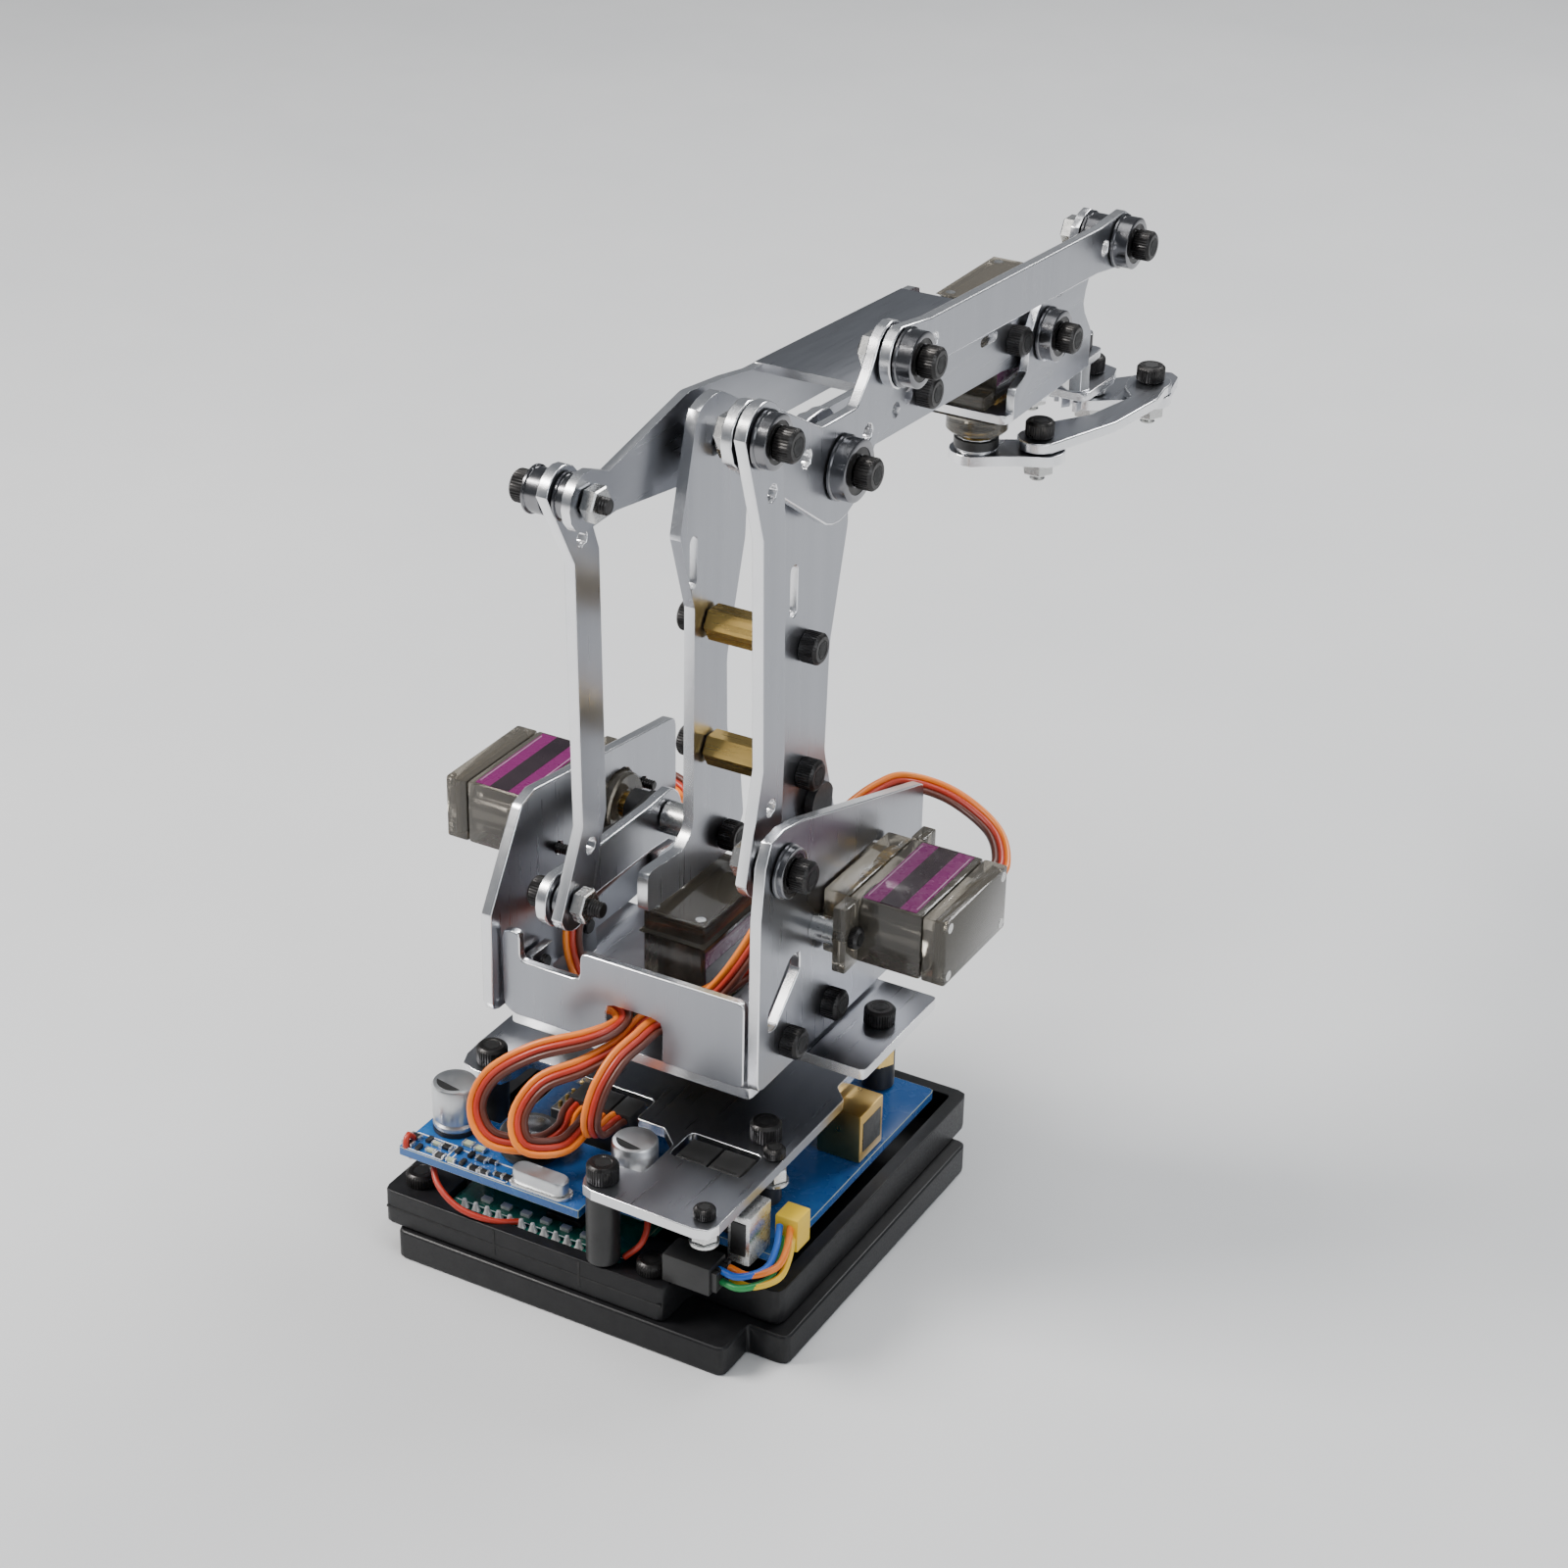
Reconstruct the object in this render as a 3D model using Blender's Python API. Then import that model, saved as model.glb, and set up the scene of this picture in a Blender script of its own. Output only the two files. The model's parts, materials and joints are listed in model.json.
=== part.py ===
"""Desktop robot arm: a four-axis parallelogram arm of flat aluminium plates, driven by micro servos.

Lengths below are millimetres and are turned into metres where meshes are made. +X is to the arm's
right, along its shoulder axle, +Y is the way the arm reaches and +Z is up. The origin is the centre
of the base's underside. Plates that stand along the arm are outlined as (y, z), flat ones as (x, y).
"""

import math

import bmesh
import bpy
from mathutils import Matrix, Vector
from mathutils.geometry import delaunay_2d_cdt

MM = 0.001

# ---- driving dimensions ------------------------------------------------------------------------
SHEET = 2.0                 # thickness of the structural plates
THIN = 1.6                  # thickness of bent sheet pieces
GAP = 0.3                   # what touching pieces keep between them
PIN_R = 1.5                 # M3 shanks
PIN_HOLE = 1.85             # clearance holes for them
HEAD_R = 2.75               # M3 socket heads
HEAD_H = 3.0
NUT_R = 2.9                 # M3 nuts
NUT_H = 2.4
STEPS = 14                  # sides of a round piece
PIN_STEPS = 8               # and of the small pins

YAW = (0.0, 13.5)           # the turntable's axis, (x, y)
SHOULDER = (17.8, 64.2)     # shoulder axle S, (y, z)
ELBOW = (15.5, 138.3)       # elbow axle E
CRANK = (-34.0, 0.5)        # from S to the crank's pin C, and from E to the rear link's top pin R
LEVEL = (-29.7, 15.6)       # from S to the fixed pin F, and from E to the elbow plate's pin T1
NOSE = (16.0, 14.0)         # from E to the elbow plate's pin T2, and from the wrist W to pin G2
FOREARM = (85.0, -5.0)      # from E to the wrist W

SERVO_L = 22.8              # micro servo case, as its data sheet draws it
SERVO_W = 12.2
SERVO_TAB_LOW = 15.9        # from the case's bottom to its mounting tabs
SERVO_TAB = 2.5
SERVO_TOP = 22.7
SERVO_SPAN = 32.4           # over both tabs
SERVO_BOSS_R = 5.8
SERVO_BOSS = 4.0
SERVO_SHAFT = 6.0           # from the case's end to its shaft

SIDE_X = 24.0               # inner face of each turret side plate
FLOOR_TOP = 40.2
ARM_LEFT_X = -4.5           # outer faces of the lower arm's plates
ARM_RIGHT_X = 13.4
CRANK_X = -16.0
REAR_LINK_X = -12.9
ELBOW_PLATE_X = 17.5
LINK_X = 20.0               # stabiliser link and front link
FLANGE_LEFT_X = -8.2
FLANGE_RIGHT_X = 11.4
CHANNEL_RISE = 6.8          # top of the upper arm's web above the line from E to W
MOUNT_X = 14.0              # the gripper bracket's wall

PLATE_TOP = 28.7            # top of the base's aluminium plate
FOOT_TOP = 121.8            # top of the gripper bracket's foot
GRIP_AXIS = (4.5, 97.0)     # the gripper servo's shaft, (x, y)
GRIP_THROW = (10.0, 6.0)    # from that shaft to the lever's pin, and from a jaw's pin to its drive pin
JAW_PIN = (10.5, 134.0)     # right jaw's pin, (x, y)
JAW_LOW = 107.9             # underside of lever and jaws
JAW_TEETH = 12              # teeth that a jaw's gear would have in a full turn
JAW_ROOT = 4.9              # the jaw gears' root and tip radii; their pins are 12 apart
JAW_TIP = 6.75

BASE_HALF = 32.5            # half the slab's width at its front and back tongues
BASE_WIDE = 40.0            # and between them
BASE_LONG = 41.0
SLAB_TOP = 5.6
TRAY_TOP = 12.5
TRAY_LEFT = -35.5
TRAY_RIGHT = 20.5
BOARD_LOW = 14.4            # undersides of the circuit boards
RECEIVER_LOW = 10.2
POWER_LOW = 19.6
BOARD = 1.6
TRAY_POSTS = ((-31.0, -35.0), (16.0, -36.0), (-31.0, 34.2), (16.0, 34.2))
# the base plate's screws, (x, y), and what each one's spacer stands on
PLATE_POSTS = ((7.4, -37.6), (-27.7, -17.7), (24.4, -13.5), (-20.0, 27.5), (24.4, 27.5))
POST_FEET = (TRAY_TOP, SLAB_TOP, BOARD_LOW + BOARD, BOARD_LOW + BOARD, BOARD_LOW + BOARD)
SMALL_POSTS = ((27.0, -38.0), (28.4, -17.6))    # smaller screws, through the plate only
CANS = ((-28.0, -28.6), (7.4, -27.6))

WING_X = 37.0               # reach of the turret floor's wings
WING_SCREWS = ((-32.0, 12.0), (32.0, 12.0))
SIDE_SCREWS = ((-10.0, 46.6), (4.0, 46.6), (31.0, 46.6))
ARM_SPACERS = ((12.6, 107.0), (12.6, 83.6))
PLATE_HANGERS = ((-2.6, 125.0), (11.4, 125.0))


def servo_screws(shaft, way):
    """Where the screws of a servo's two tabs are, along the line from its shaft to its far end."""
    return (shaft - way * (SERVO_SHAFT + 2.4), shaft + way * (SERVO_L - SERVO_SHAFT + 2.4))


SIDE_SERVO_SCREWS = servo_screws(SHOULDER[0], -1)


def add(a, b):
    return (a[0] + b[0], a[1] + b[1])


PIN_C = add(SHOULDER, CRANK)
PIN_R_TOP = add(ELBOW, CRANK)
PIN_F = add(SHOULDER, LEVEL)
PIN_T1 = add(ELBOW, LEVEL)
PIN_T2 = add(ELBOW, NOSE)
WRIST = add(ELBOW, FOREARM)
PIN_G2 = add(WRIST, NOSE)
GRIP_PIN = add(GRIP_AXIS, GRIP_THROW)
JAW_DRIVE = add(JAW_PIN, GRIP_THROW)
JAW_LEFT_PIN = (2 * GRIP_AXIS[0] - JAW_PIN[0], JAW_PIN[1])


# ---- materials ---------------------------------------------------------------------------------
FINISHES = {
    # name: (colour, metallic, roughness)
    "aluminium": ((0.72, 0.73, 0.75), 1.0, 0.32),
    "black_steel": ((0.03, 0.03, 0.03), 0.9, 0.38),
    "bright_steel": ((0.62, 0.62, 0.63), 1.0, 0.25),
    "brass": ((0.72, 0.5, 0.16), 1.0, 0.3),
    "black_plastic": ((0.02, 0.02, 0.022), 0.0, 0.5),
    "smoke_plastic": ((0.12, 0.11, 0.1), 0.0, 0.2),
    "blue_board": ((0.03, 0.12, 0.35), 0.0, 0.35),
    "green_board": ((0.02, 0.2, 0.14), 0.0, 0.35),
    "can_metal": ((0.6, 0.6, 0.62), 1.0, 0.4),
    "wire": ((0.75, 0.2, 0.03), 0.0, 0.4),
}


def material(name):
    found = bpy.data.materials.get(name)
    if found:
        return found
    colour, metallic, roughness = FINISHES[name]
    made = bpy.data.materials.new(name)
    made.use_nodes = True
    shader = made.node_tree.nodes["Principled BSDF"]
    shader.inputs["Base Color"].default_value = (*colour, 1.0)
    shader.inputs["Metallic"].default_value = metallic
    shader.inputs["Roughness"].default_value = roughness
    return made


# ---- bodies: one empty for each moving body, on its joint's axis ----------------------------------
PIVOTS = {}


def pivot(name, x, y, z):
    empty = bpy.data.objects.new("pivot_" + name, None)
    empty.location = Vector((x, y, z)) * MM
    bpy.context.scene.collection.objects.link(empty)
    PIVOTS[name] = empty


def place(name, finish, shape, body="base", smooth=False):
    """Makes the object `name`, whose mesh is given in world millimetres, on its body's pivot."""
    mesh = bpy.data.meshes.new(name)
    bmesh.ops.recalc_face_normals(shape, faces=shape.faces)
    shape.to_mesh(mesh)
    shape.free()
    mesh.transform(Matrix.Scale(MM, 4))
    mesh.materials.append(material(finish))
    obj = bpy.data.objects.new(name, mesh)
    bpy.context.scene.collection.objects.link(obj)
    if body in PIVOTS:
        obj.parent = PIVOTS[body]
        mesh.transform(Matrix.Translation(-PIVOTS[body].location))
    if smooth:
        mesh.shade_smooth()
        mesh.set_sharp_from_angle(angle=math.radians(35))
    return obj


def fuse(obj, bm, operation="UNION"):
    """Adds the solid `bm`, in world millimetres, to an object, or cuts it out."""
    tool = place(obj.name + "_tool", "aluminium", bm)
    if obj.parent:
        tool.parent = obj.parent
        tool.data.transform(Matrix.Translation(-obj.parent.location))
    tool.hide_render = True
    tool.display_type = "WIRE"
    boolean = obj.modifiers.new(operation.lower(), "BOOLEAN")
    boolean.operation = operation
    boolean.solver = "EXACT"
    boolean.object = tool


# ---- outlines ------------------------------------------------------------------------------------
def circle(centre, radius, steps=STEPS, start=0.0):
    """Points of a full circle, anticlockwise."""
    turn = 2 * math.pi / steps
    return [
        (
            centre[0] + radius * math.cos(start + turn * i),
            centre[1] + radius * math.sin(start + turn * i),
        )
        for i in range(steps)
    ]


def arc(centre, radius, start_deg, end_deg, steps=8):
    """Points of an arc from one angle to another."""
    points = []
    for i in range(steps + 1):
        angle = math.radians(start_deg + (end_deg - start_deg) * i / steps)
        points.append((centre[0] + radius * math.cos(angle), centre[1] + radius * math.sin(angle)))
    return points


def corner(before, here, after, size, steps):
    """The points that round a corner off, on a curve that is tangent to both its sides."""
    spot = Vector(here[:2])
    back = Vector(before[:2]) - spot
    on = Vector(after[:2]) - spot
    angle = back.angle(on, math.pi)
    if size < 0.05 or not 0.1 < angle < 3.07:
        return [tuple(spot)]
    reach = min(size / math.tan(angle / 2), 0.48 * back.length, 0.48 * on.length)
    first = spot + back.normalized() * reach
    last = spot + on.normalized() * reach
    points = []
    for i in range(steps + 1):
        t = i / steps
        points.append(tuple(first * (1 - t) ** 2 + spot * (2 * t * (1 - t)) + last * t**2))
    return points


def rounded(corners, radius=1.0, steps=2):
    """A closed outline with rounded corners. A corner (a, b, r) has a radius of its own."""
    points = []
    for i, here in enumerate(corners):
        size = here[2] if len(here) > 2 else radius
        points += corner(corners[i - 1], here, corners[(i + 1) % len(corners)], size, steps)
    return points


def eased(run, radius=1.0, steps=2):
    """A stretch of outline whose inner corners are rounded and whose ends are kept."""
    points = [tuple(run[0][:2])]
    for before, here, after in zip(run, run[1:], run[2:]):
        points += corner(before, here, after, here[2] if len(here) > 2 else radius, steps)
    return points + [tuple(run[-1][:2])]


def slot(start, end, radius, steps=5):
    """A round-ended slot from one centre to another."""
    along = math.degrees(math.atan2(end[1] - start[1], end[0] - start[0]))
    far = arc(end, radius, along - 90, along + 90, steps)
    return far + arc(start, radius, along + 90, along + 270, steps)


def bar(start, end, boss, half, taper, shift=0.0):
    """A link with a round boss at each end and a narrower waist, set to one side by `shift`."""
    a = Vector(start)
    b = Vector(end)
    u = (b - a).normalized()
    v = Vector((-u[1], u[0]))
    along = math.degrees(math.atan2(u[1], u[0]))
    one = a + u * taper
    two = b - u * taper
    right = [tuple(one + v * (shift - half)), tuple(two + v * (shift - half))]
    left = [tuple(two + v * (shift + half)), tuple(one + v * (shift + half))]
    return (
        right
        + arc(end, boss, along - 75, along + 75, 8)
        + left
        + arc(start, boss, along + 105, along + 255, 8)
    )


# ---- solids ----------------------------------------------------------------------------------------
def to_world(axis, a, b, depth):
    """A point of an outline's plane, whose normal is `axis`, at `depth` along it."""
    if axis == "X":
        return (depth, a, b)
    if axis == "Y":
        return (a, depth, b)
    return (a, b, depth)


def extruded(outline, low, thickness, axis="X", holes=()):
    """A flat plate: the outline less its holes, from `low` to `low + thickness` along `axis`."""
    points = []
    edges = []
    for loop in (outline, *holes):
        first = len(points)
        points += [Vector(p) for p in loop]
        edges += [(first + i, first + (i + 1) % len(loop)) for i in range(len(loop))]
    flat, _, faces, *_ = delaunay_2d_cdt(points, edges, [], 1, 1e-5)
    bm = bmesh.new()
    lower = [bm.verts.new(to_world(axis, *p, low)) for p in flat]
    upper = [bm.verts.new(to_world(axis, *p, low + thickness)) for p in flat]
    for face in faces:
        centre = sum((flat[i] for i in face), Vector((0, 0))) / len(face)
        if not any(inside(centre, hole) for hole in holes):
            bm.faces.new([lower[i] for i in reversed(face)])
            bm.faces.new([upper[i] for i in face])
    above = dict(zip(lower, upper))
    rim = [e for e in bm.edges if len(e.link_faces) == 1 and e.verts[0] in above and e.verts[1] in above]
    for edge in rim:
        a, b = edge.verts
        bm.faces.new((a, b, above[b], above[a]))
    return bm


def inside(point, polygon):
    """Whether a point lies in a polygon."""
    odd = False
    for i, (x0, y0) in enumerate(polygon):
        x1, y1 = polygon[i - 1]
        if (y0 > point[1]) != (y1 > point[1]):
            if point[0] < (x1 - x0) * (point[1] - y0) / (y1 - y0) + x0:
                odd = not odd
    return odd


def box(low, high):
    bm = bmesh.new()
    bmesh.ops.create_cube(bm, size=1.0)
    for v in bm.verts:
        for k in range(3):
            v.co[k] = low[k] if v.co[k] < 0 else high[k]
    return bm


AXES = {
    "X": Matrix(((0, 0, 1), (1, 0, 0), (0, 1, 0))),
    "Z": Matrix(((1, 0, 0), (0, 1, 0), (0, 0, 1))),
}


def turned(profile, centre, axis="X", steps=STEPS):
    """A solid turned about an axis: the profile's points are (radius, place along the axis).

    A profile that starts and ends on the axis is solid; any other is a closed ring's section.
    """
    bm = bmesh.new()
    turn = AXES[axis]
    middle = Vector(to_world(axis, *centre, 0.0))
    rings = []
    for radius, height in profile:
        if radius < 1e-6:
            rings.append([bm.verts.new(middle + turn @ Vector((0, 0, height)))])
        else:
            spots = [turn @ Vector((*p, height)) for p in circle((0, 0), radius, steps)]
            rings.append([bm.verts.new(middle + spot) for spot in spots])
    following = rings[1:] + rings[:1] if len(rings[0]) > 1 else rings[1:]
    for one, two in zip(rings, following):
        for i in range(steps):
            j = (i + 1) % steps
            if len(one) == 1:
                bm.faces.new((one[0], two[i], two[j]))
            elif len(two) == 1:
                bm.faces.new((one[i], one[j], two[0]))
            else:
                bm.faces.new((one[i], one[j], two[j], two[i]))
    return bm


def cylinder(centre, radius, low, high, axis="X", steps=STEPS, chamfer=0.0):
    if chamfer == 0.0:
        return turned([(0, low), (radius, low), (radius, high), (0, high)], centre, axis, steps)
    face = radius - chamfer
    side = [(radius, low + chamfer), (radius, high - chamfer)]
    return turned([(0, low), (face, low), *side, (face, high), (0, high)], centre, axis, steps)


def pin(centre, start, end, collars, axis="X", shank=PIN_R):
    """A screw and what is tight on it: each collar (radius, low, high) is a head, nut, bearing or bush."""
    profile = [(0, start)]
    reached = start
    for radius, low, high in sorted(collars, key=lambda collar: collar[1]):
        if low > reached:
            profile += [(shank, reached), (shank, low)]
        profile += [(radius, low), (radius, high)]
        reached = high
    if end > reached:
        profile += [(shank, reached), (shank, end)]
    return turned([*profile, (0, end)], centre, axis, PIN_STEPS)


def together(*parts):
    """One mesh of several separate solids."""
    bm = bmesh.new()
    for part in parts:
        mesh = bpy.data.meshes.new("piece")
        part.to_mesh(mesh)
        part.free()
        bm.from_mesh(mesh)
        bpy.data.meshes.remove(mesh)
    return bm


def servo(name, body, origin, along, up):
    """A micro servo: `origin` is its shaft's axis at the case's bottom, `along` points from the shaft
    to the case's far end and `up` from the bottom to the shaft."""
    far = SERVO_L - SERVO_SHAFT
    tab = (SERVO_SPAN - SERVO_L) / 2
    profile = rounded(
        [
            (-SERVO_SHAFT, 0, 0.8),
            (far, 0, 0.8),
            (far, SERVO_TAB_LOW, 0),
            (far + tab, SERVO_TAB_LOW, 0.3),
            (far + tab, SERVO_TAB_LOW + SERVO_TAB, 0.3),
            (far, SERVO_TAB_LOW + SERVO_TAB, 0),
            (far, SERVO_TOP, 0.6),
            (-SERVO_SHAFT, SERVO_TOP, 0.6),
            (-SERVO_SHAFT, SERVO_TAB_LOW + SERVO_TAB, 0),
            (-SERVO_SHAFT - tab, SERVO_TAB_LOW + SERVO_TAB, 0.3),
            (-SERVO_SHAFT - tab, SERVO_TAB_LOW, 0.3),
            (-SERVO_SHAFT, SERVO_TAB_LOW, 0),
        ],
        steps=2,
    )
    case = extruded(profile, -SERVO_W / 2, SERVO_W, "Y")
    boss = turned(
        [
            (0, SERVO_TOP - 1),
            (SERVO_BOSS_R, SERVO_TOP - 1),
            (SERVO_BOSS_R, SERVO_TOP + SERVO_BOSS),
            (2.4, SERVO_TOP + SERVO_BOSS),
            (2.4, SERVO_TOP + SERVO_BOSS + 0.8),
            (0, SERVO_TOP + SERVO_BOSS + 0.8),
        ],
        (0, 0),
        "Z",
        16,
    )
    u = Vector(along)
    w = Vector(up)
    turn = Matrix((u, w.cross(u), w)).transposed().to_4x4()
    turn.translation = Vector(origin)
    case.transform(turn)
    boss.transform(turn)
    obj = place(name, "smoke_plastic", case, body)
    fuse(obj, boss)


# ---- base ------------------------------------------------------------------------------------------
def base():
    notch = BASE_LONG - 8.0
    slab = rounded(
        [
            (-BASE_HALF, -BASE_LONG, 1.5),
            (BASE_HALF, -BASE_LONG, 1.5),
            (BASE_HALF, -notch, 0.5),
            (BASE_WIDE, -notch, 1.5),
            (BASE_WIDE, notch, 1.5),
            (BASE_HALF, notch, 0.5),
            (BASE_HALF, BASE_LONG, 1.5),
            (-BASE_HALF, BASE_LONG, 1.5),
            (-BASE_HALF, notch, 0.5),
            (-BASE_WIDE, notch, 1.5),
            (-BASE_WIDE, -notch, 1.5),
            (-BASE_HALF, -notch, 0.5),
        ]
    )
    place("base_slab", "black_plastic", extruded(slab, 0, SLAB_TOP, "Z"))

    outer = rounded(
        [
            (TRAY_LEFT, -40.0, 1.5),
            (TRAY_RIGHT, -40.0, 1.5),
            (TRAY_RIGHT, -31.0, 1.5),
            (37.5, -31.0, 2.0),
            (37.5, 38.0, 2.0),
            (TRAY_LEFT, 38.0, 1.5),
        ]
    )
    inner = rounded(
        [
            (TRAY_LEFT + 10.5, -37.5, 0.8),
            (TRAY_RIGHT - 10.0, -37.5, 0.8),
            (TRAY_RIGHT - 10.0, -28.0, 0.8),
            (35.0, -28.0, 0.8),
            (35.0, 35.5, 0.8),
            (TRAY_RIGHT, 35.5, 0.8),
            (TRAY_RIGHT, 31.0, 0.8),
            (11.0, 31.0, 0.8),
            (11.0, 35.5, 0.8),
            (-25.0, 35.5, 0.8),
            (-25.0, 31.0, 0.8),
            (-33.0, 31.0, 0.8),
            (-33.0, -29.5, 0.8),
            (TRAY_LEFT + 10.5, -29.5, 0.8),
        ]
    )
    holes = [inner] + [circle(spot, PIN_HOLE, 10) for spot in TRAY_POSTS]
    tray_low = SLAB_TOP + GAP
    place("base_tray", "black_plastic", extruded(outer, tray_low, TRAY_TOP - tray_low, "Z", holes))


def boards():
    """The circuit boards in and over the tray, and what stands on them."""
    main_board = rounded([(-24.5, -26.5), (34.0, -26.5), (34.0, 31.0), (-24.5, 31.0)])
    place("main_board", "blue_board", extruded(main_board, BOARD_LOW, BOARD, "Z"))
    receiver = rounded([(-24.6, -36.9), (9.9, -36.9), (9.9, -12.0), (-24.6, -12.0)], 0.5)
    place("receiver_board", "green_board", extruded(receiver, RECEIVER_LOW, 1.2, "Z"))
    power = rounded(
        [
            (-33.0, -38.6),
            (3.2, -38.6),
            (3.2, -33.7),
            (12.8, -33.7),
            (12.8, -21.5),
            (-22.0, -21.5),
            (-22.0, -24.0),
            (-33.0, -24.0),
        ],
        0.3,
    )
    place("power_board", "blue_board", extruded(power, POWER_LOW, BOARD, "Z"))

    top = POWER_LOW + BOARD + GAP
    can = [(0, 0), (4.0, 0), (4.0, 1.2), (3.7, 1.6), (4.0, 2.0), (4.0, 8.9), (3.7, 9.2), (0, 9.2)]
    for name, spot in zip(("capacitor_left", "capacitor_right"), CANS):
        place(name, "can_metal", turned([(r, top + h) for r, h in can], spot, "Z"), smooth=True)

    top = BOARD_LOW + BOARD + GAP
    place("servo_header", "black_plastic", box((-14.0, -20.6, top), (1.5, -14.6, 25.4)))
    place("signal_plugs", "black_plastic", box((13.5, -25.6, top), (26.3, -19.2, 25.9)))


def base_plate():
    outline = rounded(
        [
            (5.0, -41.4, 3.0),
            (30.3, -42.0, 3.0),
            (30.3, 3.0, 0.8),
            (27.5, 6.0, 0.8),
            (27.5, 38.0, 3.0),
            (-33.0, 38.0, 3.0),
            (-33.0, -13.5, 3.0),
            (-32.5, -21.8, 4.0),
            (-23.0, -21.8, 4.0),
            (-22.5, -13.7, 0.8),
            (2.9, -13.7, 0.8),
            (2.9, -20.0, 0.8),
            (8.5, -20.0, 1.0),
            (12.3, -23.5, 1.0),
            (12.3, -32.9, 1.0),
            (3.6, -33.2, 1.0),
        ]
    )
    holes = [rounded([(13.0, -26.0), (26.8, -26.0), (26.8, -18.7), (13.0, -18.7)], 1.0)]
    holes += [circle(spot, PIN_HOLE, 10) for spot in PLATE_POSTS]
    holes += [circle(spot, 1.3, 8) for spot in SMALL_POSTS]
    place("base_plate", "aluminium", extruded(outline, PLATE_TOP - SHEET, SHEET, "Z", holes))
    under = PLATE_TOP - SHEET - GAP
    head = (HEAD_R, PLATE_TOP + GAP, PLATE_TOP + GAP + HEAD_H)
    for i, (spot, foot) in enumerate(zip(PLATE_POSTS, POST_FEET)):
        post = pin(spot, foot + GAP, head[2], [(3.0, foot + GAP, under), head], "Z")
        place(f"plate_post_{i + 1}", "black_plastic", post, smooth=True)
    horn = [(0, 29.0), (8.0, 29.0), (8.0, 30.2), (3.5, 30.6), (3.5, 31.0), (0, 31.0)]
    place("yaw_horn", "black_plastic", turned(horn, YAW, "Z"), smooth=True)


# ---- turret ----------------------------------------------------------------------------------------
def side_plate(left):
    """A turret side: it carries a servo outside and has the holes for its horn and screws."""
    if left:
        outline = [
            (-22.4, 42.0, 2.0),
            (37.6, 42.0, 2.0),
            (37.6, 72.6, 2.0),
            (-8.5, 78.8, 2.5),
            (-12.5, 77.5, 2.0),
            (-22.4, 61.2, 1.0),
        ]
    else:
        outline = [
            (-19.6, 41.0, 2.0),
            (37.6, 41.0, 2.0),
            (37.6, 73.0, 1.5),
            (-6.5, 86.4, 2.0),
            (-17.6, 88.4, 6.5),
            (-19.6, 73.6, 1.5),
        ]
    holes = [circle(SHOULDER, 6.3)]
    holes += [circle((spot, SHOULDER[1]), 1.25, 8) for spot in SIDE_SERVO_SCREWS]
    holes += [circle(spot, PIN_HOLE, 10) for spot in SIDE_SCREWS]
    if not left:
        holes.append(circle(PIN_F, PIN_HOLE, 10))
        window = [
            (-16.4, 51.2, 1.2),
            (-13.6, 51.2, 1.2),
            (-6.0, 58.2, 1.2),
            (-6.0, 62.0, 1.5),
            (-9.4, 62.0, 1.5),
            (-16.4, 55.0, 1.5),
        ]
        holes.append(rounded(window))
    low = -SIDE_X - SHEET if left else SIDE_X
    name = "left_side_plate" if left else "right_side_plate"
    place(name, "aluminium", extruded(rounded(outline), low, SHEET, "X", holes), "turret")


def turret():
    floor_low = FLOOR_TOP - SHEET
    floor = rounded(
        [
            (-23.6, -17.8),
            (23.6, -17.8),
            (23.6, -3.0, 0.5),
            (WING_X, -3.0),
            (WING_X, 24.0),
            (23.6, 24.0, 0.5),
            (23.6, 37.0),
            (-23.6, 37.0),
            (-23.6, 24.0, 0.5),
            (-WING_X, 24.0),
            (-WING_X, -3.0),
            (-23.6, -3.0, 0.5),
        ]
    )
    cut_high = YAW[1] + SERVO_SHAFT + 0.4
    cut_low = cut_high - SERVO_L - 0.8
    half = SERVO_W / 2 + 0.4
    holes = [[(-half, cut_low), (half, cut_low), (half, cut_high), (-half, cut_high)]]
    holes += [circle(spot, PIN_HOLE, 10) for spot in WING_SCREWS]
    obj = place("turret_floor", "aluminium", extruded(floor, floor_low, SHEET, "Z", holes), "turret")
    tabs = []
    for y, z in SIDE_SCREWS:
        for near, far in ((-SIDE_X + 0.5, -SIDE_X + 2.1), (SIDE_X - 2.1, SIDE_X - 0.5)):
            tabs.append(box((near, y - 3.0, FLOOR_TOP - 0.8), (far, y + 3.0, z + 2.6)))
    fuse(obj, together(*tabs))

    back = rounded(
        [
            (-23.5, 42.6, 2.0),
            (-21.0, 41.6, 1.5),
            (-3.0, 41.6, 1.0),
            (-3.0, 49.6, 1.8),
            (8.0, 49.6, 1.8),
            (8.0, 41.6, 0.6),
            (23.5, 41.6, 1.0),
            (23.5, 57.8, 1.2),
            (-8.0, 57.8, 1.2),
            (-8.0, 52.4, 1.6),
            (-20.0, 52.4, 1.2),
            (-20.0, 57.8, 1.0),
            (-23.5, 57.8, 1.5),
        ]
    )
    place("rear_plate", "aluminium", extruded(back, -20.0, THIN, "Y"), "turret")
    side_plate(True)
    side_plate(False)

    bottom = FLOOR_TOP + GAP + SERVO_TAB + SERVO_TAB_LOW
    servo("yaw_servo", "turret", (*YAW, bottom), (0, -1, 0), (0, 0, -1))
    out = SIDE_X + SHEET + GAP + SERVO_TOP
    servo("shoulder_servo", "turret", (out, *SHOULDER), (0, -1, 0), (-1, 0, 0))
    servo("elbow_servo", "turret", (-out, *SHOULDER), (0, -1, 0), (1, 0, 0))

    collars = [(NUT_R, 17.3, 19.7), (3.6, 22.3, 23.7), (4.6, 26.3, 27.8), (HEAD_R, 28.1, 31.1)]
    place("fixed_pin", "black_steel", pin(PIN_F, 17.0, 31.1, collars), "turret", True)


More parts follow.
